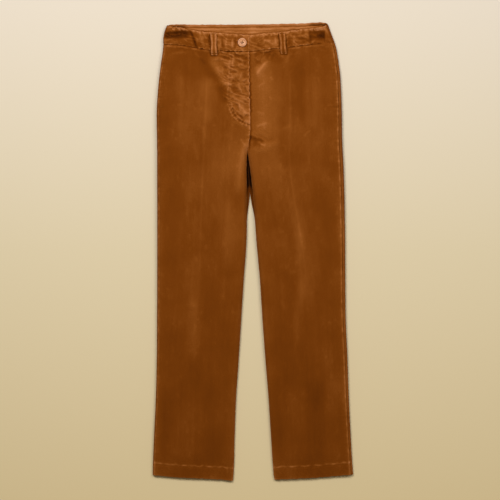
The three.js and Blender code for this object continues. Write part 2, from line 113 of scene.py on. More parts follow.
SECTIONS = table(
    ["y", "right_out", "right_crease", "right_in", "left_in", "left_crease", "left_out", "crown"],
    [
        [540, -198, -108, -8.5, -8.5, 87, 174, 14],
        [521, -207, -108, -8.5, -8.5, 87, 181, 14.3],
        [502, -211, -108, -8.5, -8.5, 87, 188, 14.8],
        [485, -211, -108, -8.5, -8.5, 87, 194, 15.3],
        [469, -212.5, -108, -9, -9, 87, 197.5, 15.8],
        [446, -216, -108, -9, -9, 87, 201, 16.6],
        [415, -220, -109, -9, -9, 87, 205, 17.6],
        [380, -223.5, -109.5, -8.5, -8.5, 87, 207, 18.6],
        [333, -226.5, -110.5, -7, -7, 87, 208.7, 20],
        [286, -226.3, -113, -6.5, -6.5, 87, 209.3, 21],
        [255, -225.8, -114.5, -9.5, -9.5, 86, 210, 21.5],
        [234, -225.5, -115.5, -12.5, -12.5, 86, 211, 21.5],
        [204, -225.5, -117, -15, -8.5, 86.5, 212.8, 21.5],
        [169, -225.5, -118.5, -14.5, -4, 90, 214, 21],
        [122, -225.3, -120.5, -14.5, 1, 97, 215.3, 20.5],
        [28, -225.3, -123, -15, 7.5, 113, 216.6, 19.5],
        [-66, -225.4, -125.5, -21.5, 16, 125, 217, 18],
        [-160, -225.8, -132, -27.5, 22, 128, 218.2, 16.8],
        [-255, -226.5, -136.5, -33.5, 29, 130.5, 222.3, 15.6],
        [-348, -228.8, -138, -39.7, 36.5, 133.5, 225.5, 14.5],
        [-442, -233.2, -139.5, -43, 42.5, 137.5, 230.2, 13.5],
        [-504, -235.5, -140.5, -44.5, 46.5, 141, 234, 13],
        [-545, -236, -141, -47.5, 51, 142.5, 237.75, 13],
    ],
)
FRONT_SEAM = table(["x", "y"], [
    [-215, 488], [-170, 485.5], [-140, 480.5], [-110, 475], [-80, 472.5], [-45, 471], [-8, 471],
    [25, 474.5], [55, 478], [85, 480.5], [115, 484.5], [150, 488.5], [200, 489.5],
])
FRONT_RIM = table(["x", "y"], [
    [-207, 531], [-198, 530], [-189, 528.3], [-171, 526], [-148, 521.5], [-120, 517], [-88, 514.5],
    [-52, 512], [-8, 509.5], [22, 512.5], [60, 515.5], [90, 519], [115, 522.5], [150, 525.5], [165, 528.5],
    [174, 533], [182, 535.5],
])
BACK_SEAM = table(["x", "y"], [[-215, 488], [-120, 492], [0, 493.5], [110, 493.5], [200, 489.5]])
BACK_RIM = table(["x", "y"], [
    [-215, 528], [-203, 532.5], [-192, 534], [-170, 534.6], [-120, 534.2], [-20, 534.6], [110, 537],
    [148, 539], [162, 539.2], [174, 536.8], [190, 532.5],
])
HEM = table(["x", "y"], [
    [-240, -525], [-178, -531], [-124, -533.5], [-68, -536.5], [-47, -539], [50, -536], [141, -532],
    [202, -527], [240, -524],
])


def read(rows, key, column, at):
    """A smooth value of a column, for an array of places along the key."""
    places, values = rows[key], rows[column]
    if places[0] > places[-1]:
        places, values = places[::-1], values[::-1]
    at = np.asarray(at, float)
    last = len(places) - 2
    slope = np.empty(len(places))
    slope[1:-1] = (values[2:] - values[:-2]) / (places[2:] - places[:-2])
    slope[0] = (values[1] - values[0]) / (places[1] - places[0])
    slope[-1] = (values[-1] - values[-2]) / (places[-1] - places[-2])
    i = np.clip(np.searchsorted(places, at) - 1, 0, last)
    span = places[i + 1] - places[i]
    t = (at - places[i]) / span
    s = np.clip(t, 0, 1)
    ease = s * s * (3 - 2 * s)
    bend = span * (slope[i] * s * (1 - s) ** 2 - slope[i + 1] * s * s * (1 - s))
    inside = values[i] * (1 - ease) + values[i + 1] * ease + bend
    before = values[i] + slope[i] * (at - places[i])
    after = values[i + 1] + slope[i + 1] * (at - places[i + 1])
    return np.where(t < 0, before, np.where(t > 1, after, inside))


def section(column, y):
    return read(SECTIONS, "y", column, y)


def line(rows, x):
    return read(rows, "x", "y", x)


def same_shape(a, b):
    """Two places or lists of places as arrays of one shape."""
    return np.broadcast_arrays(np.asarray(a, float), np.asarray(b, float))


def smooth(value, low, high):
    """0 below low, 1 above high, and an even curve between them."""
    t = np.clip((np.asarray(value, float) - low) / (high - low), 0, 1)
    return t * t * (3 - 2 * t)


def mix(a, b, t):
    return a + (b - a) * t


def hump(value, middle, width):
    """1 at the middle and less on both sides, a third of it one width away."""
    return np.exp(-(((value - middle) / width) ** 2))


print("sections:", len(SECTIONS["y"]), "from", SECTIONS["y"][0], "to", SECTIONS["y"][-1], "mm")

# %% [markdown]
# ## Folds and wrinkles
# Cloth that has been worn and pressed is never even. A long fold is a soft ridge or trough from one point
# to another, a little bowed. A wrinkle is the same thing, short and sharp. Each row places one, in
# millimetres: its two ends, its bow, its half width and how far it rises or sinks. The large folds are in
# the solids too. The fine ones are only here.

# %% Folds and wrinkles
FOLD_NAMES = ["x0", "y0", "x1", "y1", "bow", "width", "rise"]
FOLDS = table(FOLD_NAMES, [
    [-143, 498, -96, 400, -9, 12, -1.5],
    [-112, 462, -60, 372, -8, 13, 1.7],
    [-104, 424, -62, 366, -4, 9, -2],
    [-64, 372, -6, 288, -14, 10, 2.2],
    [-172, 452, -168, 240, 0, 14, 1.2],
    [-14, 276, -36, 120, 3, 9, 1.8],
    [0, 459, 62, 468, 0, 9, -2.4],
    [4, 408, 42, 452, 0, 8, 1.8],
    [106, 470, 112, 280, 0, 12, -2],
    [140, 470, 155, 250, 2, 16, 0.8],
    [-12, 270, 16, 257, -1, 5, -1.3],
    [-6, 240, 66, 262, 6, 9, 1.6],
    [92, 150, 122, -20, 4, 13, 1.4],
    [126, -30, 96, -260, 5, 14, 1.5],
    [-138, -90, -136, -280, 0, 12, 1.2],
    [-60, 150, -52, -60, 3, 16, 1],
    [176, -180, 184, -420, 0, 16, 1],
    [-86, -220, -84, -440, 0, 15, 0.9],
])


def relief(folds, x, y):
    """How far the folds lift each point."""
    x, y = same_shape(x, y)
    lift = np.zeros(x.shape)
    for k in range(len(folds["x0"])):
        x0, y0, x1, y1, bow, width, rise = [folds[name][k] for name in FOLD_NAMES]
        reach = 3 * width + abs(bow)
        near = (x > min(x0, x1) - reach) & (x < max(x0, x1) + reach)
        near &= (y > min(y0, y1) - reach) & (y < max(y0, y1) + reach)
        if not near.any():
            continue
        dx, dy = x1 - x0, y1 - y0
        length = math.hypot(dx, dy)
        t = ((x[near] - x0) * dx + (y[near] - y0) * dy) / length**2
        aside = ((x[near] - x0) * dy - (y[near] - y0) * dx) / length - bow * 4 * t * (1 - t)
        fade = smooth(t, 0, 0.25) * (1 - smooth(t, 0.75, 1))
        lift[near] += np.where((t > 0) & (t < 1), rise * fade * hump(aside, 0, width), 0)
    return lift


WRINKLES = table(FOLD_NAMES, [
    [-84, 467, -54, 458, 1, 2.2, 0.9], [-82, 462, -52, 453, 1, 2, -0.9],
    [-81, 457, -47, 446, 2, 2.3, 1.1], [-77, 452, -45, 441, 1, 2, -0.9], [-73, 447, -42, 434, 1, 2.4, 1],
    [-67, 441, -38, 429, 0, 2, -0.8], [-52, 467, -26, 462, -1, 2, 0.8],
    [-50, 462, -22, 455, -1, 1.9, -0.8], [-46, 456, -17, 448, 0, 2.1, 1],
    [-41, 450, -13, 441, 1, 2, -0.8], [-37, 445, -10, 434, 2, 2.2, 0.9], [-30, 438, -10, 428, 1, 2, -0.7],
    [-60, 433, -36, 424, 0, 2.2, 0.8], [-57, 427, -33, 418, 1, 2, -0.7],
    [-46, 420, -26, 412, 1, 2.2, 0.6], [-64, 414, -44, 404, 1, 2.2, 0.9],
    [-62, 407, -42, 398, 1, 2, -0.8], [-70, 398, -46, 388, -1, 2.6, 0.8],
    [-60, 389, -40, 381, 1, 2, -0.7], [-40, 398, -14, 392, 1, 2.4, 0.5],
    [-36, 384, -12, 378, 1, 2.2, 0.5], [-74, 372, -50, 352, 2, 2.6, 1],
    [-69, 364, -48, 344, 1, 2.2, -0.8], [-62, 352, -40, 332, -2, 2.4, 1],
    [-56, 343, -34, 326, -2, 2, -0.8], [-50, 336, -26, 316, -3, 2.6, 1.2],
    [-42, 325, -20, 309, -2, 2, -0.9], [-34, 318, -12, 302, -2, 2.4, 1],
    [-30, 308, -10, 296, -1, 2.2, -0.8], [-36, 344, -16, 330, 0, 2.4, 0.6],
    [-26, 334, -10, 322, 0, 2.2, 0.6], [-48, 306, -20, 290, -2, 3, 0.7], [-40, 372, -14, 362, 1, 3, 0.5],
    [34, 448, 6, 414, 1, 3.4, 1.4], [48, 470, 36, 450, 1, 3.2, 1.5], [28, 468, 8, 456, 1, 2.6, 0.8],
    [4, 446, 26, 441, 1, 2.4, -0.6], [60, 471, 72, 452, -1, 3, 0.9], [40, 412, 47, 401, 0, 2.6, 0.9],
    [38, 366, 44, 356, 0, 2.4, 0.7], [86, 468, 78, 440, 1, 3.6, 0.8], [100, 474, 92, 452, 1, 3, -0.6],
    [8, 386, 30, 400, 1, 3.4, 0.5], [6, 330, 30, 322, 1, 3.2, 0.5], [4, 292, 36, 302, -1, 3.2, 0.9],
    [-8, 276, 16, 268, 1, 2.6, 0.8], [-4, 258, 22, 246, -1, 2.8, -0.8], [-30, 268, -14, 246, 2, 3, 0.9],
    [66, 286, 92, 300, 1, 4, 0.5], [118, 272, 136, 288, 1, 3, 0.6], [-196, 466, -150, 470, 1, 3, 0.7],
    [-188, 476, -160, 478, 0, 2.6, -0.6], [-140, 470, -118, 452, 1, 3, 0.8],
    [-128, 460, -108, 438, 1, 3, -0.8], [-118, 300, -112, 262, 1, 5, 0.6],
    [-140, 262, -128, 206, -1, 5, 0.5], [150, 460, 156, 430, 0, 4, 0.5], [-130, 60, -112, 20, 1, 6, 0.4],
    [104, 70, 116, 30, 1, 6, 0.4], [-98, 118, -84, 84, 1, 5, 0.4], [60, 210, 76, 176, 1, 5, 0.5],
    [-74, -96, -60, -120, 0, 5, 0.4], [64, -110, 80, -140, 1, 5, 0.5],
    [-150, -120, -128, -128, 0, 4, 0.4], [-156, -134, -134, -140, 0, 4, -0.3],
    [112, -330, 132, -342, 0, 5, 0.4],
])
BAND_WRINKLES = table(FOLD_NAMES, [
    [-118, 509, -115, 478, 1, 2.8, 0.4], [-104, 508, -102, 480, 0, 2, -0.8],
    [-83, 508, -82, 478, 1, 2, 0.7], [-72, 506, -71, 476, 1, 2.2, -0.6],
    [-62, 505, -63, 476, 1, 2.4, 0.5], [-47, 503, -49, 475, 1, 2.2, 0.9],
    [-41, 502, -42, 475, 0, 1.8, -0.8], [-10, 505, -9, 474, 0, 2.6, 0.4], [20, 500, 44, 494, 1, 3.4, 0.6],
    [8, 484, 30, 486, 1, 3, -0.5], [98, 512, 96, 484, 1, 3, 0.6], [120, 514, 134, 506, 1, 3, 0.7],
    [112, 494, 146, 500, 1, 3.6, -0.6], [132, 512, 152, 506, 0, 3, 0.8],
    [-128, 500, -124, 482, 0, 3, -0.6], [52, 508, 54, 482, 0, 2.4, 0.5], [84, 510, 85, 484, 0, 2.2, -0.6],
])
print("folds:", len(FOLDS["x0"]), "wrinkles:", len(WRINKLES["x0"]) + len(BAND_WRINKLES["x0"]))

# %% [markdown]
# ## Crumpled places
# Beside the fly and along the seams the cloth is crumpled too finely to place each crease by hand. There a
# noise is bent by another noise and folded at zero, which gives short, branching ridges. `crushed` says
# where.

# %% Uneven lines and crumpled places
RIPPLES = [(rng.uniform(0.6, 1.6), rng.uniform(0, 2 * math.pi)) for _ in range(7)]
LATTICE = rng.uniform(-1, 1, (64, 64))


def ripple(place, length):
    """An uneven wave of about that length, between -1 and 1."""
    total = sum(np.sin(2 * math.pi * place / (length * scale) + phase) for scale, phase in RIPPLES)
    return total / len(RIPPLES) * 1.6


def broken(place, length):
    """Between 0 and 1: a broken line, strong in some places and faint in others."""
    return np.clip(0.55 + 0.6 * ripple(place, length), 0, 1)


def noise(x, y):
    """Smooth random values between -1 and 1, a new one at each whole number."""
    x, y = same_shape(x, y)
    i, j = np.floor(x).astype(int), np.floor(y).astype(int)
    a, b = smooth(x - i, 0, 1), smooth(y - j, 0, 1)
    near = mix(LATTICE[i % 64, j % 64], LATTICE[(i + 1) % 64, j % 64], a)
    far = mix(LATTICE[i % 64, (j + 1) % 64], LATTICE[(i + 1) % 64, (j + 1) % 64], a)
    return mix(near, far, b)


CRINKLES = [(22, 6.8, -0.42, 1.0), (15, 5.5, 0.35, 0.7), (11, 4.6, -1.1, 0.5)]


def crinkle(x, y):
    """Crossing ridges in crumpled cloth: each layer has its own length, width, lean and share."""
    bent_x = x + 6 * noise(x / 16, y / 13)
    bent_y = y + 6 * noise(x / 12 + 9, y / 15 + 5)
    total = 0
    for length, width, lean, share in CRINKLES:
        along = bent_x * math.cos(lean) + bent_y * math.sin(lean)
        aside = bent_y * math.cos(lean) - bent_x * math.sin(lean)
        total = total + share * (0.55 - 2.2 * np.abs(noise(along / length, aside / width)))
    return np.clip(total, -1.6, 1.2)


def crushed(x, y):
    """How crumpled the cloth is: most beside the fly, some at the fork and below the band."""
    edge = np.interp(y, [292, 312, 335, 370, 420, 470], [-16, -40, -56, -68, -82, -98])
    fly = smooth(x, edge - 14, edge + 18) * (1 - smooth(x, -11, -6)) * smooth(y, 286, 302)
    tab = 0.85 * smooth(x, -2, 6) * (1 - smooth(x, 36, 60)) * smooth(y, 432, 456)
    fork = 0.75 * np.exp(-(((x - 12) / 24) ** 2) - ((y - 262) / 24) ** 2)
    below = 0.35 * smooth(y, 455, 475)
    return np.clip(fly + tab + fork + below, 0, 1)


# Painted light and shade: lighter and darker strips over the broad folds, a painted shadow at the fork.
PAINTED_LIGHT_AND_SHADE = table(FOLD_NAMES, [
    [-96, 462, -60, 372, -4, 10, 0.35], [-52, 466, -34, 300, 0, 24, 0.35], [26, 458, 28, 240, 0, 28, 0.4],
    [0, 640, 0, 60, 0, 130, 0.24], [34, 470, 72, 442, 0, 10, -0.35], [-2, 460, 52, 458, 0, 9, 0.3],
    [2, 420, 30, 452, 0, 6, 0.25], [106, 474, 108, 260, 0, 9, 0.2], [-24, 470, -20, 296, 0, 13, 0.35],
    [-150, 480, -98, 400, -6, 12, -0.15], [-84, 396, -62, 344, 0, 8, -0.5],
    [-108, 420, -106, 290, 0, 17, 0.28], [-62, 260, -62, -60, 0, 26, 0.1],
    [60, 220, 68, -80, 0, 26, 0.06], [112, 90, 116, -130, 3, 9, 0.2],
    [-190, 300, -196, -120, 0, 20, -0.12], [170, 200, 176, -160, 0, 20, -0.12],
    [-146, -300, -148, -520, 0, 22, 0.12], [102, -300, 104, -520, 0, 22, 0.12],
    [-206, -280, -206, -520, 0, 14, -0.2], [-96, -280, -94, -520, 0, 18, -0.2],
    [50, -280, 62, -520, 0, 14, -0.2], [-140, -100, -142, -800, 0, 90, -0.16],
    [140, -100, 142, -800, 0, 90, -0.2], [-90, 200, -92, 40, 0, 30, 0.1],
    [152, -280, 154, -520, 0, 20, -0.25], [-11, 271, 13, 258, -1, 5, -0.5],
    [10, 264, 26, 258, 0, 2.5, -0.7], [16, 254, 32, 250, 1, 2.5, 0.5], [-4, 250, 20, 246, 0, 5, -0.3],
])


def nap_and_painted_light(x, y):
    """Pile that leans another way looks lighter or darker, in broad patches and thin streaks. The listed
    strips add painted light and shade over the broad folds and a painted shadow in the hollow at the fork.
    """
    patches = 0.09 * noise(x / 46 + 3, y / 70) + 0.05 * noise(x / 19, y / 50 + 7)
    patches = patches + 0.05 * noise(x / 8 + 5, y / 12)
    spots = 0.22 * np.clip(noise(x / 5.5, y / 8 + 2) - 0.6, 0, 1) / 0.4
    return patches + spots + relief(PAINTED_LIGHT_AND_SHADE, x, y)


# %% [markdown]
# ## The fly's stitch line
# The fly is held by one row of stitches that runs down beside the edge and turns in to it at the foot, a
# shape like the letter J. The thread pulls the cloth down, and the cloth puckers on both sides of it. The
# path is a short list of points with a smooth curve through it.

# %% Path of the fly stitch and its puckers
FLY_STITCH = np.array([
    [-50, 468], [-51.5, 440], [-53.5, 410], [-55.5, 380], [-56, 354], [-51, 333], [-38, 314], [-23, 303],
    [-9.5, 298],
])


def curve_through(points, step):
    """Points at an even spacing on a smooth curve through a few given ones."""
    points = np.asarray(points, float)
    ends = np.vstack([2 * points[0] - points[1], points, 2 * points[-1] - points[-2]])
    fine = []
    for a, b, c, d in zip(ends, ends[1:], ends[2:], ends[3:]):
        t = np.linspace(0, 1, 24, endpoint=False)[:, None]
        fine.append(0.5 * (
            2 * b + (c - a) * t + (2 * a - 5 * b + 4 * c - d) * t**2 + (3 * b - a - 3 * c + d) * t**3
        ))
    fine = np.vstack(fine + [points[-1:]])
    run = np.concatenate([[0], np.cumsum(np.linalg.norm(np.diff(fine, axis=0), axis=1))])
    at = np.linspace(0, run[-1], max(2, round(run[-1] / step) + 1))
    return np.stack([np.interp(at, run, fine[:, k]) for k in range(fine.shape[1])], axis=1)


def puckers(path, every, reach, rise):
    """Short uneven ridges that cross a stitched line, as rows for relief()."""
    rows = []
    line_points = curve_through(path, every)
    for k in range(1, len(line_points) - 1):
        along = line_points[k + 1] - line_points[k - 1]
        turn = math.atan2(along[1], along[0]) + math.pi / 2 + rng.uniform(-0.5, 0.5)
        half = reach * rng.uniform(0.6, 1.2)
        middle = line_points[k] + rng.uniform(-0.2, 0.2, 2) * every
        step = np.array([math.cos(turn), math.sin(turn)]) * half
        a, b = middle - step, middle + step
        rows.append([
            *a, *b, rng.uniform(-1, 1), every * rng.uniform(0.22, 0.34), rise * rng.uniform(0.5, 1.3),
        ])
    return rows


FLY_PUCKERS = table(FOLD_NAMES, puckers(FLY_STITCH, 6.5, 9, 1.6))
MOUTH_RIGHT = [[-205, 478], [-214, 430], [-217.5, 380], [-219, 340]]
MOUTH_LEFT = [[182, 478], [191, 430], [195, 380], [197, 340]]
MOUTH_PUCKERS = table(FOLD_NAMES, puckers(MOUTH_RIGHT, 9, 6, 0.9) + puckers(MOUTH_LEFT, 9, 7, 1.2))
BAND_SEAM = [[-205, 485], [-140, 479], [-80, 471], [-8, 470], [55, 477], [150, 487]]
RIM = [[-140, 516], [-88, 511], [-8, 506], [60, 512], [120, 519]]
FLY_EDGE = [[-12, 466], [-11.5, 400], [-10.5, 340], [-9.5, 300], [-9, 258]]
SEAM_PUCKERS = table(FOLD_NAMES, puckers(BAND_SEAM, 8, 6, 0.9))
RIM_PUCKERS = table(FOLD_NAMES, puckers(RIM, 8, 5, 1.0))
EDGE_PUCKERS = table(FOLD_NAMES, puckers(FLY_EDGE, 8, 7, 0.9))


def distance_to(path, x, y):
    """How far each point is from a stitched line. Far ones only get a large number."""
    points = curve_through(path, 4)
    nearest = np.full(np.broadcast(x, y).shape, 1e9)
    close = (x > points[:, 0].min() - 12) & (x < points[:, 0].max() + 12) & (y > points[:, 1].min() - 12)
    flat_x, flat_y = (np.broadcast_to(v, nearest.shape)[close] for v in (x, y))
    best = np.full(flat_x.shape, 1e9)
    for a, b in zip(points, points[1:]):
        run = b - a
        t = np.clip(((flat_x - a[0]) * run[0] + (flat_y - a[1]) * run[1]) / (run @ run), 0, 1)
        best = np.minimum(best, np.hypot(flat_x - a[0] - t * run[0], flat_y - a[1] - t * run[1]))
    nearest[close] = best
    return nearest


def stitched(distance):
    """A stitched line sinks into the cloth and the cloth swells on both sides of it."""
    return -1.0 * hump(distance, 0, 1.6) + 0.9 * hump(distance, 4.2, 2)


WAVES = [
    (rng.uniform(30, 140), rng.uniform(-0.5, 0.5), rng.uniform(0, 2 * math.pi), rng.uniform(0.03, 0.12))
    for _ in range(26)
]


def unevenness(x, y):
    """Long, faint waves that run mostly down the leg, as in any pressed cloth."""
    total = 0
    for length, lean, phase, size in WAVES:
        turn = 2 * math.pi * (x + lean * y * 0.35) / length + phase + y / (2.7 * length)
        total = total + size * np.sin(turn)
    return total


print("fly stitch:", round(float(len(curve_through(FLY_STITCH, 1))), 0), "mm long,",
      len(FLY_PUCKERS["x0"]), "puckers on it")

# %% [markdown]
# ## The front's form
# In section a laid leg is a flat back, rolled sides and a crowned front. `front_point` walks over it: 0 is
# the side fold, 1 the top of the roll, 2 the crease, 3 the inner roll and 4 the centre or the inside leg.
# The height comes from `plain_top`, the same sum that shaped the solid. `panel_top` and `band_top` add the
# fine wrinkles of the legs and of the waistband to it.

# %% Height of the front
RIGHT = {"out": "right_out", "crease": "right_crease", "inner": "right_in", "towards": 1, "turn": 0.3}
LEFT = {"out": "left_out", "crease": "left_crease", "inner": "left_in", "towards": -1, "turn": 0.62}
BUCKLES = [
    {"x0": -207, "x1": -152, "y0": 509, "y1": 512, "width": 7.5, "depth": 10, "ends": (4, 9)},
    {"x0": 138, "x1": 168, "y0": 509, "y1": 508, "width": 13, "depth": 6.5, "ends": (10, 2.5)},
]


def leg_share(y):
    return 1 - smooth(y, CROTCH_FOOT, CROTCH_TOP)


def centre_line(y):
    return section("right_in", np.maximum(y, CROTCH_FOOT))


def plain_top(x, y):
    """The crown, the dip along the centre, the pressed creases and the large folds."""
    legs = leg_share(y)
    crease_x = np.where(x < centre_line(y), section("right_crease", y), section("left_crease", y))
    pressed = hump(x, crease_x, CREASE_WIDTH)
    crease = CREASE_RISE * pressed * (1 - smooth(y, CREASE_TOP - CREASE_FADE, CREASE_TOP))
    crease = crease * mix(0.25, 1, smooth(y, -220, 60))
    dip = DIP_DEPTH * hump(x, centre_line(y), DIP_WIDTH) * (1 - legs)
    return section("crown", y) - dip + crease + relief(FOLDS, x, y) - HEM_DROOP * (1 - smooth(y, -545, -470))


def lap_lift(x, y, lap, lift, ramp):
    free = centre_line(y) - lap - 3
    return lift * smooth(x, free - ramp, free) * smooth(y, FLY_FOOT - 3 * FLY_FADE, FLY_FOOT - FLY_FADE)


def panel_top(side, x, y):
    top = plain_top(x, y) + unevenness(x, y) + WRINKLE_RISE * relief(WRINKLES, x, y)
    top = top + relief(MOUTH_PUCKERS, x, y)
    top = top + CRUSH * crushed(x, y) * crinkle(x, y) + relief(SEAM_PUCKERS, x, y)
    if side is RIGHT:
        top = top + lap_lift(x, y, FLY_LAP, FLY_LIFT, FLY_RAMP)
        top = top + relief(FLY_PUCKERS, x, y) + relief(EDGE_PUCKERS, x, y)
        top = top + stitched(distance_to(FLY_STITCH, x, y))
    return top


def corner_share(x):
    """1 where the waist folds over at either side and both edges stand up, 0 elsewhere."""
    right = smooth(x, -203, -192) * (1 - smooth(x, -166, -150))
    return right + smooth(x, 126, 144) * (1 - smooth(x, 168, 178))


def buckle_share(b, x, y):
    """1 at the bottom of a valley under the rim, 0 outside it. Its upper wall is the steeper one."""
    within = smooth(x, b["x0"] - b["ends"][0], b["x0"] + b["ends"][0])
    within = within * (1 - smooth(x, b["x1"] - b["ends"][1], b["x1"] + b["ends"][1]))
    above = y - mix(b["y0"], b["y1"], (x - b["x0"]) / (b["x1"] - b["x0"]))
    across = np.where(above > 0, above / (0.8 * b["width"]), above / (1.25 * b["width"]))
    return within * np.exp(-np.abs(across) ** 2.6)


CORNER_FOLDS = table(FOLD_NAMES, [
    [-138, 518, -119, 478, -1, 8, 0.5], [-152, 526, -130, 466, -3, 3, -1.7],
    [134, 526, 136, 476, 0, 3.5, -0.9], [124, 522, 126, 480, 0, 6, 0.4],
    [136, 495, 166, 498, 1, 2.6, 1.2], [138, 489, 164, 491, 1, 2.2, -0.9],
    [98, 506, 130, 509, 1, 2.6, 1.0], [102, 499, 132, 502, 1, 2.6, -0.9],
])


def band_top(side, x, y):
    top = plain_top(x, y) + BAND_PROUD + BAND_WRINKLE_RISE * relief(BAND_WRINKLES, x, y)
    top = top + 0.6 * unevenness(x, y)
    if side is RIGHT:
        top = top + lap_lift(x, y, BAND_LAP, BAND_LIFT, BAND_RAMP)
    for b in BUCKLES:
        top = top - b["depth"] * buckle_share(b, x, y)
    down = line(FRONT_RIM, x) - y
    rim = corner_share(x) * hump(down, 0, 5) * (3 + 0.8 * ripple(x, 15))
    rough = crinkle(0.8 * x, y) * (0.3 + 0.4 * np.exp(-down / 6) + 0.4 * np.exp((down - BAND_HEIGHT) / 6))
    rough = rough + 1.1 * crinkle(1.3 * x, y) * corner_share(x) * np.exp(-down / 9)
    rough = rough + relief(RIM_PUCKERS, x, y) + relief(SEAM_PUCKERS, x, y)
    return top + rim + rough + relief(CORNER_FOLDS, x, y)


# %% Points of the front and the back
def front_point(side, across, y, inner, top_at):
    across, y = np.broadcast_arrays(across, y)
    crown = section("crown", y)
    roll = crown * ROLL_SHARE
    fold_z = crown * SEAM_SHARE
    out, crease, way = section(side["out"], y), section(side["crease"], y), side["towards"]
    legs = leg_share(y)
    turn_out = np.clip(across, 0, 1) * math.pi / 2
    turn_in = np.clip(4 - across, 0, 1) * math.pi / 2
    x = np.where(
        across < 1, out + way * roll * (1 - np.cos(turn_out)),
        np.where(across < 2, mix(out + way * roll, crease, across - 1),
                 np.where(across < 3, mix(crease, inner - way * roll, across - 2),
                          inner - way * roll * mix(4 - across, 1 - np.cos(turn_in), legs))))
    rise = np.where(across < 1, np.sin(turn_out), np.where(across < 3, 1, mix(1, np.sin(turn_in), legs)))
    return np.stack([x, y, fold_z + (top_at(side, x, y) - fold_z) * rise], axis=-1)


def over_loops(x, y):
    """The back lifts a little over the belt loops that lie under it."""
    lift = np.zeros(np.broadcast(x, y).shape)
    for name in ("belt_loop_back_right", "belt_loop_back_centre", "belt_loop_back_left"):
        low, high = (corner[0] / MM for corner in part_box(name))
        away = np.abs(x - (low + high) / 2) - LOOP_FLAT
        lift = np.maximum(lift, 1 - np.clip(away / LOOP_FADE, 0, 1))
    return LOOP_LIFT * smooth(lift, 0, 1) * smooth(y, 430, 478)


def back_point(side, across, y, inner, top_at):
    across, y = np.broadcast_arrays(across, y)
    crown = section("crown", y)
    fold_z = crown * SEAM_SHARE
    roll = crown * BACK_ROLL_SHARE
    out, way = section(side["out"], y), side["towards"]
    legs = leg_share(y)
    over = np.clip(-across, 0, 1) * math.pi / 2
    under = np.clip(across, 0, 1) * math.pi / 2
    turn = np.clip(3 - across, 0, 1) * math.pi / 2
    x = np.where(
        across < 0, out + way * crown * ROLL_SHARE * (1 - np.cos(over)),
        np.where(across < 1, out + way * roll * (1 - np.cos(under)),
                 np.where(across < 2, mix(out + way * roll, inner - way * roll, across - 1),
                          inner - way * roll * mix(3 - across, 1 - np.cos(turn), legs))))
    lift = over_loops(x, y)
    low = 1 - 0.6 * closed_fork(y)
    z = np.where(
        across < 0, fold_z + (top_at(side, x, y) - fold_z) * np.sin(over),
        np.where(across < 1, fold_z * (1 - np.sin(under)),
                 np.where(across < 2, lift, fold_z * (1 - np.sin(turn)) * legs * low + lift)))
    return np.stack([x, y, z], axis=-1)


def plain_inner(side, y):
    return section(side["inner"], y) - side["towards"] * SEAM_GAP * (1 - leg_share(y)) / 2


def front_inner(side, y):
    if side is RIGHT:
        wave = (0.4 + 1.1 * ripple(y, 15)) * (1 - leg_share(y)) * (1 - smooth(y, 462, 470))
        return plain_inner(side, y) + wave
    fly = smooth(y, FLY_FOOT, FLY_FOOT + FLY_FADE)
    return plain_inner(side, y) - mix(TUCK * (1 - leg_share(y)), FLY_LAP, fly)


def closed_fork(y):
    """1 just below the fork, where the backs meet between the legs, 0 further down."""
    return smooth(y, 66, 152)


def back_inner(side, y):
    """The backs reach further into the fork than the fronts, and the left one laps the right."""
    gap = section("left_in", y) - section("right_in", y)
    reach = side["towards"] * (0.5 * np.clip(gap, 0, 26) + 0.6 * leg_share(y)) * closed_fork(y)
    lap = 0 if side is RIGHT else TUCK * (1 - leg_share(y))
    return plain_inner(side, y) + reach - lap


def band_inner(side, y):
    return plain_inner(side, y) - (BAND_LAP if side is LEFT else 0)


def between(point_at, top_rows, top_gap, foot_rows, foot_gap, wander=(0, 0)):
    """A surface over (u, v) from a walk over (u, y): v runs from the top line to the foot line."""
    def height(u, rows, gap, start, sway):
        y = np.full(np.shape(u), float(start))
        for _ in range(8):
            x = point_at(u, y)[..., 0]
            y = line(rows, x) + gap
        return y + sway * ripple(x, 17)

    def surface(u, v):
        u, v = same_shape(u, v)
        unique, back = np.unique(u, return_inverse=True)
        top = height(unique, top_rows, top_gap, 490, wander[0])[back].reshape(u.shape)
        start = -530 if foot_rows is HEM else 490
        foot = height(unique, foot_rows, foot_gap, start, wander[1])[back].reshape(u.shape)
        return point_at(u, mix(top, foot, v))

    return surface


def fronts(side, inner, top_at):
    return lambda u, y: front_point(side, u, y, inner(side, y), top_at)


def backs(side):
    return lambda u, y: back_point(side, u, y, back_inner(side, y), panel_top)


HALF_GAP = SEAM_GAP / 2
FRONT_AT = {"right": fronts(RIGHT, front_inner, panel_top), "left": fronts(LEFT, front_inner, panel_top)}
print("the right crease at the hip:", FRONT_AT["right"](2.0, 300.0).round(1))

# %% [markdown]
# ## A shell of cloth
# A cut edge of corduroy isn't a sharp corner, and a folded one is round. Each shell is a closed grid: an
# outer face, an inner face, and between them an edge that is rounded like a half circle. The grid has
# narrow cells beside its edges for that. Every shell carries a UV map in metres, which runs along the
# grain of the cloth for the ribs, and a tone for each place, which holds its wear together with painted
# light and shade.

# %% Shell helpers
EDGE_TURNS = np.radians([0, 25, 50, 70, 90])


def steps(*parts):
    """Stations from parts like (from, to, cells), each one joined to the next."""
    return np.unique(np.concatenate([np.linspace(a, b, n + 1) for a, b, n in parts]))


def with_edges(places, start_rate, end_rate, radius):
    """Adds close stations at both ends, where the edge of the cloth turns."""
    turn = radius * (1 - np.cos(EDGE_TURNS))
    first = places[0] + turn * start_rate
    last = places[-1] - turn * end_rate
    middle = places[(places > first[-1] + 0.3 * start_rate) & (places < last[-1] - 0.3 * end_rate)]
    return np.concatenate([first, middle, last[::-1]])


def run_along(points, axis):
    gaps = np.linalg.norm(np.diff(points, axis=axis), axis=2)
    zero = np.zeros_like(np.take(gaps, [0], axis=axis))
    return np.cumsum(np.concatenate([zero, gaps], axis=axis), axis=axis)


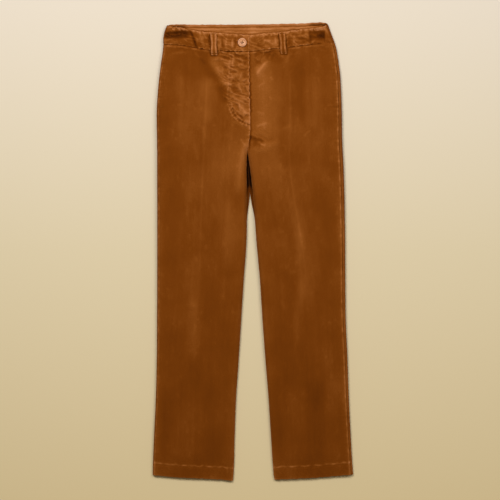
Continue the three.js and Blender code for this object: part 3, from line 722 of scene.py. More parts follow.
def normals_of(points, us, vs, facing):
    across = np.gradient(points, us, axis=1)
    down = np.gradient(points, vs, axis=0)
    normal = np.cross(across, down) * facing
    return normal / np.linalg.norm(normal, axis=2, keepdims=True)


def shell(name, surface, us, vs, facing, thickness, detail=None, grain_from=None, wear_and_painted_light_at=None, inside=None):
    """A closed wall of cloth on a surface, with round edges, as a new object in metres."""
    radius = float(np.max(thickness(np.array([0.0, 0.5, 1.0])))) / 2
    u_mid, v_mid = us[len(us) // 2], vs[len(vs) // 2]
    nudge = 1e-3

    def rate(at_u, at_v, du, dv):
        return nudge / np.linalg.norm(surface(at_u + du, at_v + dv) - surface(at_u, at_v))

    us = with_edges(us, rate(us[0], v_mid, nudge, 0), rate(us[-1], v_mid, -nudge, 0), radius)
    vs = with_edges(vs, rate(u_mid, vs[0], 0, nudge), rate(u_mid, vs[-1], 0, -nudge), radius)
    u, v = np.meshgrid(us, vs)
    points = surface(u, v)
    across, down = run_along(points, 1), run_along(points, 0)
    place = {
        "x": points[..., 0], "y": points[..., 1], "z": points[..., 2], "first": across, "top": down,
        "last": across[:, -1:] - across, "foot": down[-1:] - down,
    }
    normal = normals_of(points, us, vs, facing)
    if detail is not None:
        points = points + normal * detail(place)[..., None]
        normal = normals_of(points, us, vs, facing)
    edge = np.minimum(np.minimum(place["first"], place["last"]), np.minimum(place["top"], place["foot"]))
    full = np.sqrt(np.clip(1 - (1 - np.clip(edge / radius, 0, 1)) ** 2, 0, 1))[..., None]
    half = thickness(v)[..., None] / 2
    middle = points - normal * half
    outer, inner = middle + normal * half * full, middle - normal * half * full
    lining_tone_and_painted_shade = np.zeros(u.shape)
    if inside is not None:
        sunk, lining_tone_and_painted_shade = inside(place)
        inner = inner + normal * sunk[..., None] * full
    start = across[:, :1] if grain_from is None else np.array(
        [np.interp(grain_from, us, row) for row in across])[:, None]
    grain = np.stack([across - start, -points[..., 1]], axis=-1) * MM
    wear_and_painted_light = np.zeros(u.shape) if wear_and_painted_light_at is None else wear_and_painted_light_at(place)
    return grid_mesh(name, outer, inner, grain, wear_and_painted_light, lining_tone_and_painted_shade, facing)


def grid_mesh(name, outer, inner, grain, wear_and_painted_light, lining_tone_and_painted_shade, facing):
    high, wide = outer.shape[:2]
    index = np.arange(high * wide).reshape(high, wide)
    inside = np.full((high, wide), -1)
    inside[1:-1, 1:-1] = np.arange((high - 2) * (wide - 2)).reshape(high - 2, wide - 2) + high * wide
    inside = np.where(inside < 0, index, inside)

    def quads(grid, turned):
        a, b, c, d = grid[:-1, :-1], grid[:-1, 1:], grid[1:, 1:], grid[1:, :-1]
        order = [a, d, c, b] if turned else [a, b, c, d]
        return np.stack([corner.ravel() for corner in order], axis=1)

    faces = np.concatenate([quads(index, facing < 0), quads(inside, facing > 0)])
    points = np.concatenate([outer.reshape(-1, 3), inner[1:-1, 1:-1].reshape(-1, 3)]) * MM
    coords = np.concatenate([grain.reshape(-1, 2), grain[1:-1, 1:-1].reshape(-1, 2)])
    # Each point's tone: wear together with painted light and shade.
    pile = np.concatenate([wear_and_painted_light.ravel(), lining_tone_and_painted_shade[1:-1, 1:-1].ravel()])
    mesh = bpy.data.meshes.new(name)
    mesh.from_pydata(points.tolist(), [], faces.tolist())
    uv = mesh.uv_layers.new(name="grain")
    uv.data.foreach_set("uv", coords[faces.ravel()].astype(np.float32).ravel())
    mesh.attributes.new("wear_and_painted_light", "FLOAT", "POINT").data.foreach_set("value", pile.astype(np.float32))
    mesh.shade_smooth()
    obj = bpy.data.objects.new(name, mesh)
    bpy.context.collection.objects.link(obj)
    return obj


def even(thickness):
    """A cloth of one thickness all over."""
    return lambda v: np.full(np.shape(v), thickness)


def report_on(obj):
    """Triangles and half the area of a closed shell, which is the area of its cloth."""
    area = sum(p.area for p in obj.data.polygons) / 2
    print(f"{obj.name}: {2 * len(obj.data.polygons)} triangles, {area:.3f} square metres of cloth")


# %% [markdown]
# ## The leg panels
# Four panels make the legs. The fronts carry nearly all the looks: the pressed crease, the drag lines that
# run out from the fly and the crotch, the puckers at the seams, and the hem, where the turned-up cloth
# makes a ridge and its stitching a groove. Cells are small over the hips, where the wrinkles are short.

# %% Detail near the seams and the hem
HEM_STITCH = 27
LOOP_WIDTH, LOOP_CORD, LOOP_REST, LOOP_STAND = 14.5, 1.6, 0.3, 4.2
FRONT_LOOPS = {
    "belt_loop_front_right": (-93.5, 513.5, -90.5, 461), "belt_loop_front_left": (67.5, 514.5, 72.5, 464.5),
}


def seam_shows(x):
    """The band's seam shows as far as the last fold on the left hip, where it rolls out of sight."""
    return 1 - smooth(x, 156, 166)


def loop_shade(x, y):
    """Painted shadow: the photograph is darker beside the belt loops, so the cloth's tone is lowered there.
    """
    shade = 0
    for x_top, y_top, x_foot, y_foot in FRONT_LOOPS.values():
        t = (y_top - y) / (y_top - y_foot)
        aside = np.abs(x - mix(x_top, x_foot, np.clip(t, 0, 1))) - LOOP_WIDTH / 2
        beyond = np.maximum(aside, (t - 1) * (y_top - y_foot))
        shade = shade - 0.8 * hump(np.clip(beyond, 0, None), 0, 2.6) * (t > 0.05)
    return shade


def tucked(top):
    """1 at the edge that runs on under the waistband, 0 below the seam."""
    return 1 - smooth(top, 1, TUCK + 0.5)


def seam_detail(side, place):
    """What sewing does to cloth: it sinks at the seam and the turned-in edges print through."""
    x, y = place["x"], place["y"]
    legs = leg_share(y)
    top = np.abs(place["top"] - TUCK)
    lift = -0.35 * hump(place["first"], 0, 2.2)
    lift += 0.28 * hump(place["first"], 13, 3.2) * (0.7 + 0.5 * ripple(y, 60))
    lift += legs * (0.25 * hump(place["last"], 12, 3) - 0.3 * hump(place["last"], 0, 2.2))
    beside = np.exp(-place["first"] / 7) + legs * np.exp(-place["last"] / 7)
    lift += beside * (0.35 * ripple(y + 0.3 * x, 11) + 0.5 * noise(x / 9, y / 4.5))
    lift += -2.2 * tucked(place["top"]) + 0.5 * ripple(x, 13) * np.exp(-top / 8)
    lift += -1.1 * hump(top, 0, 1.8) * broken(x, 13) + 0.5 * hump(top, 5, 2.4) * broken(x, 24)
    if side is LEFT:
        under = (1 - smooth(place["last"], TUCK - 1, TUCK + 4)) * (1 - legs)
        lift -= under * np.clip(1.9 - lap_lift(x, y, FLY_LAP, FLY_LIFT, FLY_RAMP), 0, None)
    hem = place["foot"]
    lift += 0.45 * (1 - smooth(hem, HEM_STITCH, HEM_STITCH + 4))
    lift -= 0.75 * hump(hem, HEM_STITCH, 1.5)
    lift += 0.3 * ripple(x + 0.8 * hem, 9) * hump(hem, HEM_STITCH * 0.55, 12)
    return lift


def front_wear_and_painted_light(side, place):
    """The pressed crease, the seams, the hem and the edges lose their pile first and look lighter. Ridges are
    paler from wear and painted highlight, troughs and stitch grooves darker from painted shade, and the inner
    roll beside the gap is lightened as painted light.

    The lines along the fly's edge and below the waistband are darker, to match the photograph: painted
    shadow beside the lapped edge and in the seam, with painted highlight on the puckers below the seam. The
    fly's own edge is paler from wear and painted highlight.
    """
    x, y = place["x"], place["y"]
    # Ridges: paler from wear and painted highlight. Troughs: darker from painted shade.
    ridges = WRINKLE_RISE * relief(WRINKLES, x, y) + 0.4 * relief(FOLDS, x, y) + relief(FLY_PUCKERS, x, y)
    ridges = ridges + 0.7 * crushed(x, y) * crinkle(x, y) + 0.5 * relief(SEAM_PUCKERS, x, y)
    # Painted shade in the fly's stitch groove, painted highlight on the swells beside it.
    if side is RIGHT:
        held = mix(0.35, 1.1, 1 - smooth(y, 318, 350)) * mix(0.3, 1, broken(x - y, 13))
        ridges = ridges + held * stitched(distance_to(FLY_STITCH, x, y))
    side_x = np.where(x < centre_line(y), section("right_crease", y), section("left_crease", y))
    crease = hump(x, side_x, 2.5) * (1 - smooth(y, 380, 440)) * smooth(y, -120, 120)
    seams = hump(place["first"], 3.5, 1.8) * broken(y, 26)
    seams += leg_share(y) * hump(place["last"], 3.5, 1.8) * broken(y + 40, 30)
    above_hem = place["foot"] - HEM_STITCH - 3 - 1.4 * ripple(x, 26)
    hems = hump(above_hem, 0, 1.8) * mix(0.1, 1.3, broken(x, 23)) + np.exp(-place["foot"] / 1.5)
    if side is RIGHT:
        # The fly's edge: paler from wear and painted highlight.
        fly = np.exp(-place["last"] / 3.2) * smooth(y, 230, 262) * mix(0.35, 1, broken(y, 10))
    else:
        # Painted shadow beside the lapped fly edge.
        beside = x - front_inner(RIGHT, y)
        depth = mix(0.7, 1.5, smooth(y, 318, 332) * (1 - smooth(y, 390, 410)) + 1 - smooth(y, 262, 276))
        fly = -0.5 * depth * hump(beside, 1.5, 2.4) * (1 - leg_share(y))
    below = place["top"] - TUCK
    # Painted highlight on the puckers below the band's seam, painted shade in the seam.
    waist = 0.8 * hump(below, 4.5, 2) * broken(x + 30, 24) - 1.3 * hump(below, 0, 1.7)
    waist = waist * seam_shows(x) + loop_shade(x, y)
    edges = 0.9 * seams + 0.9 * hems + 1.6 * fly + waist
    edges = edges + 0.4 * np.exp(-place["first"] / 7) * mix(0.5, 1.8, broken(y, 9))
    # Painted light on the inner roll beside the gap.
    edges = edges + 0.45 * leg_share(y) * np.exp(-place["last"] / 9)
    return np.clip(0.5 * np.clip(ridges, -1.2, 1.6) + 0.15 * crease + edges + nap_and_painted_light(x, y), -1.2, 1.8)


# %% The two fronts
FRONT_V = steps((0, 0.245, 160), (0.245, 0.965, 138), (0.965, 1, 18))
PANEL_LENGTH = 1010


def hem_or_single(v):
    """The hem is turned up, so the cloth is thicker there."""
    return np.where(v > 1 - HEM_DEPTH / PANEL_LENGTH, HEM_CORD, CORD)


pieces = {}
for name, side in (("right", RIGHT), ("left", LEFT)):
    surface = between(FRONT_AT[name], FRONT_SEAM, TUCK, HEM, 0, (0, 0.7))
    columns = steps((side["turn"] + 0.012, 1, 9), (1, 2, 36), (2, 3, 52), (3, 3.98, 14))
    panel = shell(f"cord_front_{name}", surface, columns, FRONT_V, -side["towards"], hem_or_single,
                  detail=functools.partial(seam_detail, side), grain_from=2.0,
                  wear_and_painted_light_at=functools.partial(front_wear_and_painted_light, side))
    report_on(panel)
    pieces[f"front_panel_{name}"] = panel

# %% [markdown]
# ## The backs
# The backs lie flat on the surface and roll up over the side folds to meet the fronts. Their creases may
# only rise from the surface, never sink into it, so they are troughs that press the cloth up a little.

# %% The two backs
BACK_FOLDS = table(FOLD_NAMES, [
    [-150, 440, -60, 330, 10, 9, 1.8], [-120, 400, -30, 300, -8, 8, 1.5], [140, 430, 50, 320, -9, 9, 1.7],
    [110, 390, 20, 290, 6, 8, 1.4], [-60, 250, -140, 190, 8, 9, 1.6], [30, 250, 120, 185, -8, 9, 1.6],
    [-30, 230, -100, 160, 5, 7, 1.2], [20, 220, 100, 150, -5, 7, 1.2], [-190, 20, -90, -10, 6, 10, 1.3],
    [-180, -30, -80, -60, -5, 9, 1.2], [80, 10, 190, -20, 6, 10, 1.3], [70, -50, 180, -80, -5, 9, 1.2],
    [-160, -120, -60, -150, 5, 9, 1], [60, -130, 170, -160, 5, 9, 1], [-130, 100, -126, -420, 8, 6, 0.9],
    [118, 100, 132, -420, -8, 6, 0.9], [-190, -380, -90, -400, 4, 8, 0.8],
    [70, -370, 180, -395, 4, 8, 0.8],
])
SEAT_DARTS = [(-96, 492, -92, 400), (78, 493, 74, 400)]


def back_detail(side, place):
    """Troughs press the back up from the surface. Away from the flat part nothing is moved."""
    x, y = place["x"], place["y"]
    under = 2.8 * tucked(place["top"])
    if side is LEFT:
        under = under + 1.7 * (1 - smooth(place["last"], TUCK - 1, TUCK + 4)) * (1 - leg_share(y))
    flat = 1 - smooth(place["z"], 0.3, 3)
    lift = np.clip(relief(BACK_FOLDS, x, y), 0, 2.4)
    for x0, y0, x1, y1 in SEAT_DARTS:
        t = np.clip((y - y0) / (y1 - y0), 0, 1)
        lift += 0.9 * hump(x, mix(x0, x1, t), 1.6) * (1 - smooth(y, y0 - 8, y0)) * smooth(y, y1, y1 + 20)
    lift += 0.5 * hump(place["foot"], HEM_STITCH, 1.5)
    lift += (0.15 + 0.12 * ripple(x + 0.5 * y, 30)) * (1 - np.exp(-place["foot"] / 12))
    return -flat * np.clip(lift, 0.02, 2.6) - under


def back_wear_and_painted_light(side, place):
    """The back wears at its seams too, and shares the pile's tone with its painted light and shade."""
    x, y = place["x"], place["y"]
    seams = hump(place["first"], 3.5, 1.8) + leg_share(y) * hump(place["last"], 3.5, 1.8)
    rolled = 0.4 * np.exp(-place["first"] / 9)
    return np.clip(0.6 * seams * broken(y, 26) + 0.7 * nap_and_painted_light(x, y) + rolled, -1.2, 1.4)


def back_lining(place):
    """The face that shows in the gap below the fork. Its tone is lowered to match the photograph: a painted
    shadow in the gap.
    """
    inward = 1 - smooth(place["last"], 16, 40)
    fork = inward * smooth(place["y"], 112, 200) * (1 - smooth(place["y"], 230, 270))
    # Painted shadow in the gap below the fork.
    return np.zeros(fork.shape), -2.7 * fork


BACK_V = steps((0, 0.25, 56), (0.25, 0.965, 90), (0.965, 1, 12))
for name, side in (("right", RIGHT), ("left", LEFT)):
    surface = between(backs(side), BACK_SEAM, TUCK, HEM, 0, (0, 0.7))
    columns = steps((0.012 - side["turn"], 0, 6), (0, 1, 8), (1, 2, 52), (2, 2.97, 10))
    panel = shell(f"cord_back_{name}", surface, columns, BACK_V, side["towards"], hem_or_single,
                  detail=functools.partial(back_detail, side), grain_from=1.5,
                  wear_and_painted_light_at=functools.partial(back_wear_and_painted_light, side), inside=back_lining)
    report_on(panel)
    pieces[f"back_panel_{name}"] = panel

# %% [markdown]
# ## The waistband
# The band is cut in three pieces and interfaced, so it bends less than the legs and buckles where it does.
# The two front pieces lap at the centre. The back piece lies open, so its inner face shows above the front.

# %% Front waistband
def band_detail(place):
    """The band's own stitching: one row beside the seam below, one beside the top edge."""
    x = place["x"]
    lift = -0.4 * hump(place["foot"], 3, 1.3) - 0.4 * hump(place["top"], 4, 1.3)
    lift += 0.4 * ripple(x, 10) * (np.exp(-place["foot"] / 5) + np.exp(-place["top"] / 5))
    lift += 0.5 * np.exp(-place["foot"] / 1.5)
    lift -= 0.3 * hump(place["last"], 4, 1.3)
    return lift


def band_wear_and_painted_light(place):
    """Paler on ridges, stitching and edges, darker in the valleys at the corners, as photographed. Edges and
    ridges are paler from wear and painted highlight, the curled corner rims carry painted highlight, crumples
    painted light and shade, and the valleys, grooves and troughs painted shade.
    """
    x, y = place["x"], place["y"]
    # Ridges: paler from wear and painted highlight. Troughs: darker from painted shade.
    ridges = BAND_WRINKLE_RISE * relief(BAND_WRINKLES, x, y) + 0.4 * relief(FOLDS, x, y)
    ridges = ridges + relief(RIM_PUCKERS, x, y) + relief(SEAM_PUCKERS, x, y)
    edges = np.exp(-place["top"] / 2) + 0.3 * np.exp(-place["foot"] / 1.8)
    edges = edges + 0.7 * np.exp(-place["last"] / 1.8)
    # Painted shade in the valleys under the rim and along the diagonal groove.
    shade = sum(buckle_share(b, x, y) for b in BUCKLES)
    shade = shade * smooth(y, 494, 503) + 0.6 * np.clip(-relief(CORNER_FOLDS, x, y), 0, 1.5)
    # Painted highlight on the curled rims at the corners.
    bright = corner_share(x) * hump(place["top"], 3, 5) * (1.5 + 1.4 * crinkle(1.3 * x, y))
    # Paler dashes along the rim: wear and painted highlight.
    dashes = 0.9 * hump(place["top"], 3, 3) * broken(x + y, 13)
    tone = 0.4 + 0.5 * np.clip(ridges, -1, 1.4) + 1.4 * edges * broken(x, 9) + dashes + 0.6 * nap_and_painted_light(x, y)
    # Painted light and shade on the crumples.
    tone = tone + 0.45 * np.clip(crinkle(0.8 * x, y), -1, 1.2)
    tone = tone + bright - 1.35 * shade + 0.1 * np.clip(relief(CORNER_FOLDS, x, y), 0, 3) + loop_shade(x, y)
    return np.clip(tone, -1.6, 1.8)


for name, side in (("right", RIGHT), ("left", LEFT)):
    surface = between(fronts(side, band_inner, band_top), FRONT_RIM, 0, FRONT_SEAM, HALF_GAP, (0.9, 1.8))
    columns = steps((side["turn"] + 0.012, 1, 12), (1, 2, 70), (2, 3, 62), (3, 3.98, 18))
    band = shell(f"waistband_cord_{name}", surface, columns, steps((0, 1, 30)), -side["towards"],
                 even(BAND), detail=band_detail, grain_from=2.0, wear_and_painted_light_at=band_wear_and_painted_light)
    report_on(band)
    pieces[f"waistband_front_{name}"] = band

# %% Back waistband
LEVEL = 510


def back_band_at(u, y):
    """From the right side fold (0) over the flat (1 to 3) to the left side fold (4)."""
    u, y = same_shape(u, y)
    right = back_point(RIGHT, np.minimum(u, 1), y, centre_line(y), band_top)
    left = back_point(LEFT, np.minimum(4 - u, 1), y, centre_line(y), band_top)
    level = np.full(1, float(LEVEL))
    right_x = back_point(RIGHT, np.ones(1), level, centre_line(level), band_top)[0, 0]
    left_x = back_point(LEFT, np.ones(1), level, centre_line(level), band_top)[0, 0]
    t = (u - 1) / 2
    near_right = (right[..., 0] - right_x) * (1 - smooth(t, 0, 0.14))
    near_left = (left[..., 0] - left_x) * smooth(t, 0.86, 1)
    x = mix(right_x, left_x, t) + near_right + near_left
    flat = np.stack([x, y, over_loops(x, y)], axis=-1)
    return np.where((u < 1)[..., None], right, np.where((u > 3)[..., None], left, flat))


def back_band_detail(place):
    """The rim curls up where the waist folds over, and the band waves a little."""
    x = place["x"]
    flat = 1 - smooth(place["z"], 3, 6)
    curl = 5 * corner_share(x) * hump(place["top"], 0, 4) + 1.0 * hump(place["top"], 0, 3)
    return -flat * (0.12 + 0.1 * ripple(x, 40) + curl)


def back_band_lining(place):
    """The face that shows: paler, with its facing seam 7 mm below the rim. It is darker in the curled corners
    and just behind the front's rim, as painted shade.
    """
    x, top = place["x"], place["top"]
    sunk = 0.9 * hump(top, 6.5, 1.4) + 0.35 * hump(top, 15, 1.5)
    sunk = sunk - 0.3 * ripple(x, 17) * hump(top, 8, 5)
    pale = 1.25 - 0.9 * hump(top, 6.5, 1.6) - 0.4 * hump(top, 15, 1.8)
    # Painted shade in the curled corners.
    pale = pale - 1.1 * corner_share(x) * hump(top, 5, 3) * (1 - smooth(x, 176, 182))
    # Painted shadow just behind the front's rim.
    beyond_front = place["y"] - line(FRONT_RIM, x) - 0.8 * ripple(x, 17)
    pale = pale - 1.2 * hump(beyond_front, 1, 1.8)
    return sunk, pale + 0.3 * noise(x / 19, top / 4)


surface = between(back_band_at, BACK_RIM, 0, BACK_SEAM, HALF_GAP, (0.6, 0))
columns = steps(
    (0.012 - RIGHT["turn"], 0, 5), (0, 1, 9), (1, 3, 150), (3, 4, 9), (4, 3.988 + LEFT["turn"], 8)
)
band = shell("waistband_cord_back", surface, columns, steps((0, 0.4, 16), (0.4, 1, 12)), 1, even(BAND),
             detail=back_band_detail, grain_from=2.0, inside=back_band_lining)
report_on(band)
pieces["waistband_back"] = band

# %% [markdown]
# ## Belt loops
# A loop is a strip of cord folded in three and stitched near both edges, so the middle sinks and the two
# edges stand up. It is bartacked to the band at both ends and stands off it between them. The height of
# what lies under it is measured by casting rays down onto the shells.

# %% Rays onto the shells
from mathutils.bvhtree import BVHTree


def tree_of(objects):
    corners, polygons = [], []
    for obj in objects:
        mesh = obj.data
        places = np.empty(3 * len(mesh.vertices), np.float32)
        mesh.vertices.foreach_get("co", places)
        faces = np.empty(len(mesh.loops), np.int32)
        mesh.loops.foreach_get("vertex_index", faces)
        polygons += (faces.reshape(-1, 4) + len(corners)).tolist()
        corners += places.reshape(-1, 3).tolist()
    return BVHTree.FromPolygons(corners, polygons)


def drop(tree, x, y):
    """The first point of cloth straight below (x, y) and the way it faces, in millimetres."""
    hit, normal, _, _ = tree.ray_cast(Vector((x * MM, y * MM, 0.2)), Vector((0, 0, -1)))
    if hit is None:
        return None
    return np.array(hit) / MM, np.array(normal) * (1 if normal.z > 0 else -1)


front_tree = tree_of([obj for node, obj in pieces.items() if "back" not in node])
print("the tab under the button lies at z =", round(float(drop(front_tree, -25.5, 491)[0][2]), 2), "mm")

# %% Front belt loops
def front_loop_surface(x_top, y_top, x_foot, y_foot):
    stations = np.linspace(0, 1, 40)
    beneath = []
    for t in stations:
        x, y = mix(x_top, x_foot, t), mix(y_top, y_foot, t)
        spots = [drop(front_tree, x + dx, y + dy) for dx in (-5, 0, 5) for dy in (-2, 0, 2)]
        beneath.append(max(spot[0][2] for spot in spots if spot is not None))
    evened = np.convolve(np.pad(beneath, 3, mode="edge"), np.ones(7) / 7, mode="valid")
    beneath = evened.clip(np.array(beneath) - 0.1)

    def surface(u, v):
        u, v = same_shape(u, v)
        bow = LOOP_STAND * np.clip(np.sin(math.pi * np.clip(v / 0.95, 0, 1)), 0, 1) ** 0.45
        bow += 0.7 * hump(v, 0.8, 0.09) + 0.4 * np.sin(8 * v) * np.sin(math.pi * np.clip(v, 0, 1))
        x = mix(x_top, x_foot, v) + u * LOOP_WIDTH / 2 * (1 + 0.07 * np.sin(9 * v)) + 0.5 * np.sin(6 * v)
        z = np.interp(v, stations, beneath) + LOOP_REST + LOOP_CORD + bow
        edges = 1.5 * hump(np.abs(u + 0.08), 0.66, 0.24)
        tacks = hump(v, 0.05, 0.025) + hump(v, 0.93, 0.025)
        return np.stack([x, mix(y_top, y_foot, v), z + edges - 0.5 * tacks], axis=-1)

    return surface


def loop_wear_and_painted_light(place):
    """Paler on the two ridges, from wear and painted highlight, and at the top, darker in the groove between
    them as painted shade. The right loop is the paler one in the photograph.
    """
    edge = np.minimum(place["first"], place["last"])
    ridge = hump(edge, 3.2, 2) * mix(0.5, 1, broken(place["y"], 12))
    # Painted shade in the groove between the ridges.
    groove_painted_shade = -0.6 * hump(edge, 8, 2)
    tone = 0.25 + 0.4 * (place["x"] < 0) + 1.3 * ridge + groove_painted_shade + 0.8 * np.exp(-place["top"] / 4)
    return np.clip(tone, -1.2, 1.8)


for node, ends in FRONT_LOOPS.items():
    loop = shell(node.replace("belt_loop", "loop_strip"), front_loop_surface(*ends), steps((-1, 1, 22)),
                 steps((0, 1, 48)), -1, even(LOOP_CORD), wear_and_painted_light_at=loop_wear_and_painted_light)
    report_on(loop)
    pieces[node] = loop

# %% Back belt loops, pressed flat between the band and the surface
FLAT_LOOP_CORD = 1.7
for node in ("belt_loop_back_right", "belt_loop_back_centre", "belt_loop_back_left"):
    low, high = ([value / MM for value in corner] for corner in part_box(node))

    def flat_strip(u, v, low=low, high=high):
        u, v = same_shape(u, v)
        rows = 0.2 * hump(np.abs(u), 0.62, 0.13)
        x, y = mix(low[0], high[0], (u + 1) / 2), mix(high[1], low[1], v)
        return np.stack([x, y, low[2] + 0.02 + rows], axis=-1)

    loop = shell(node.replace("belt_loop", "loop_strip"), flat_strip, steps((-1, 1, 14)),
                 steps((0, 1, 20)), 1, even(FLAT_LOOP_CORD))
    report_on(loop)
    pieces[node] = loop

# %% [markdown]
# ## Inside: pocket bags and zip
# These hardly show, only through the waist. Each bag hangs from the side seam against the inside of the
# front. The zip is a woven tape on both sides of a row of nylon teeth.

# %% Pocket bags and zip tape
LINING = 0.8


def bag_surface(name, side):
    first = side["turn"] + 0.07

    def panel(u, v):
        across = (u - first) / (1.62 - first)
        foot = 258 + 70 * (1 - across) ** 3 + 45 * across**4
        y = mix(466, foot, v)
        return front_point(side, u, y, front_inner(side, y), lambda s, x, at: plain_top(x, at))

    def surface(u, v):
        u, v = same_shape(u, v)
        nudge = 1e-3
        across = panel(u + nudge, v) - panel(u - nudge, v)
        down = panel(u, v + nudge) - panel(u, v - nudge)
        normal = np.cross(across, down) * -side["towards"]
        normal /= np.linalg.norm(normal, axis=-1, keepdims=True)
        return panel(u, v) - normal * 3.6

    return surface


for name, side in (("right", RIGHT), ("left", LEFT)):
    columns = steps((side["turn"] + 0.07, 1, 6), (1, 1.62, 16))
    bag = shell(f"pocketing_{name}", bag_surface(name, side), columns, steps((0, 1, 48)), -side["towards"],
                even(LINING))
    report_on(bag)
    pieces[f"pocket_bag_{name}"] = bag


def zip_surface(u, v):
    u, v = same_shape(u, v)
    x, y = mix(-36, -13, u), mix(467, 306, v)
    return np.stack([x, y, plain_top(x, y) - 3.4 + 0.5 * hump(u, 0.5, 0.11)], axis=-1)


zip_tape = shell("zip_tape", zip_surface, steps((0, 1, 22)), steps((0, 1, 90)), -1, even(LINING))
report_on(zip_tape)
pieces["fly_zip"] = zip_tape

# %% [markdown]
# ## Stitching
# The sewing is a tone-on-tone thread. One stitch is a short bowed tube whose ends dive into the cloth. It is
# worked out once and laid along each seam, with rays that find the cloth's height. A bartack is the same
# stitch set close, side by side, where a seam has to bear a pull.

# %% One stitch and rows of it
THREAD = 0.5
STITCH_PITCH, STITCH_LENGTH = 3.2, 2.6
SIDES = 5
STITCH_STATIONS = np.linspace(0, 1, 5)
sewn = {node: [] for node in pieces}
trees = {node: tree_of([obj]) for node, obj in pieces.items()}


def rise(tree, x, y):
    """The first point of cloth straight above (x, y), seen from below."""
    hit, normal, _, _ = tree.ray_cast(Vector((x * MM, y * MM, -0.1)), Vector((0, 0, 1)))
    if hit is None:
        return None
    return np.array(hit) / MM, np.array(normal) * (-1 if normal.z > 0 else 1)


def one_stitch(a, b, normal, radius=THREAD / 2, sink=0.35):
    """Corners of one stitch from a to b."""
    along = (b - a) / np.linalg.norm(b - a)
    side = np.cross(along, normal)
    side /= np.linalg.norm(side)
    normal = np.cross(side, along)
    turn = np.linspace(0, 2 * math.pi, SIDES, endpoint=False)
    bow = (radius * 1.6 + sink) * np.sin(math.pi * STITCH_STATIONS) ** 0.6 - sink
    centre = a + np.outer(STITCH_STATIONS, b - a) + np.outer(bow, normal)
    ring = radius * (np.outer(np.cos(turn), side) + np.outer(np.sin(turn), normal))
    return (centre[:, None] + ring[None]).reshape(-1, 3)


def sew(node, path, find=drop, pitch=STITCH_PITCH, length=STITCH_LENGTH):
    """A row of stitches on one piece, along a path of (x, y) points."""
    points = curve_through(path, 0.4)
    run = np.concatenate([[0], np.cumsum(np.linalg.norm(np.diff(points, axis=0), axis=1))])
    for start in np.arange(0.4, run[-1] - length, pitch):
        spots = []
        for at in (start, start + length / 2, start + length):
            x, y = np.interp(at, run, points[:, 0]), np.interp(at, run, points[:, 1])
            spots.append(find(trees[node], x, y))
        if all(spot is not None for spot in spots) and abs(spots[0][0][2] - spots[2][0][2]) < 1.6:
            sewn[node].append(one_stitch(spots[0][0], spots[2][0], spots[1][1]))


def bartack(node, a, b, width=2.2, count=16):
    """Close stitches across a short line."""
    a, b = np.array(a, float), np.array(b, float)
    across = np.array([-(b - a)[1], (b - a)[0]]) / np.linalg.norm(b - a) * width / 2
    for t in np.linspace(0, 1, count):
        middle = mix(a, b, t)
        lean = across * rng.uniform(0.85, 1.1)
        spots = [drop(trees[node], *(middle + lean * k)) for k in (-1, 0, 1)]
        if all(spot is not None for spot in spots):
            sewn[node].append(one_stitch(spots[0][0], spots[2][0], spots[1][1], radius=0.3, sink=0.2))


# %% Rows on the fronts
sew("front_panel_right", FLY_STITCH)
bartack("front_panel_right", (-14, 300), (-6, 297))
bartack("front_panel_right", (-49, 338), (-43, 326))
for node, mouth in (("front_panel_right", MOUTH_RIGHT), ("front_panel_left", MOUTH_LEFT)):
    inward = 1 if node.endswith("right") else -1
    sew(node, [[x + 7 * inward, y] for x, y in mouth])
    foot = mouth[-1]
    bartack(node, (foot[0] + 1 * inward, foot[1]), (foot[0] + 9 * inward, foot[1] + 1))
for node, x0, x1 in (("front_panel_right", -229, -50), ("front_panel_left", 56, 229)):
    hem_line = [[x, float(line(HEM, x)) + HEM_STITCH] for x in np.linspace(x0, x1, 12)]
    sew(node, hem_line)
    sew(node.replace("front", "back"), hem_line, find=rise)

# %% Rows on the waistband and the loops
for node, x0, x1 in (("waistband_front_right", -204, -12), ("waistband_front_left", -40, 186)):
    spots = np.linspace(x0, x1, 24)
    sew(node, [[x, float(line(FRONT_RIM, x)) - 4] for x in spots])
    sew(node, [[x, float(line(FRONT_SEAM, x)) + 3] for x in spots])
sew("waistband_front_right", [[-12.8, 505], [-12.8, 490], [-13, 476]])
sew("waistband_back", [[x, float(line(BACK_RIM, x)) - 7] for x in np.linspace(-196, 172, 30)])
for node, (x0, y0, x1, y1) in FRONT_LOOPS.items():
    for aside in (-4.6, 4.6):
        row = [[mix(x0, x1, t) + aside, mix(y0, y1, t)] for t in (0.03, 0.35, 0.7, 0.98)]
        sew(node, row, pitch=2.9, length=2.3)
    for t in (0.05, 0.93):
        x, y = mix(x0, x1, t), mix(y0, y1, t)
        bartack(node, (x - 5, y), (x + 5, y), count=20)
print("stitches:", {node: len(rows) for node, rows in sewn.items() if rows})


# %% Stitches as one mesh for each piece of cloth
def joined_tubes(name, tubes, rings):
    """Open tubes with the same rings, closed with a cap at both ends."""
    faces = []
    for k in range(rings - 1):
        for s in range(SIDES):
            n = (s + 1) % SIDES
            faces.append([k * SIDES + s, k * SIDES + n, (k + 1) * SIDES + n, (k + 1) * SIDES + s])
    first = list(range(SIDES))[::-1]
    last = [(rings - 1) * SIDES + s for s in range(SIDES)]
    count = rings * SIDES
    points, polygons = [], []
    for i, tube in enumerate(tubes):
        points += (tube * MM).tolist()
        polygons += [[i * count + k for k in face] for face in [*faces, first, last]]
    mesh = bpy.data.meshes.new(name)
    mesh.from_pydata(points, [], polygons)
    mesh.shade_smooth()
    obj = bpy.data.objects.new(name, mesh)
    bpy.context.collection.objects.link(obj)
    bpy.ops.object.select_all(action="DESELECT")
    obj.select_set(True)
    bpy.context.view_layer.objects.active = obj
    bpy.ops.object.mode_set(mode="EDIT")
    bpy.ops.mesh.select_all(action="SELECT")
    bpy.ops.mesh.normals_make_consistent(inside=False)
    bpy.ops.object.mode_set(mode="OBJECT")
    return obj


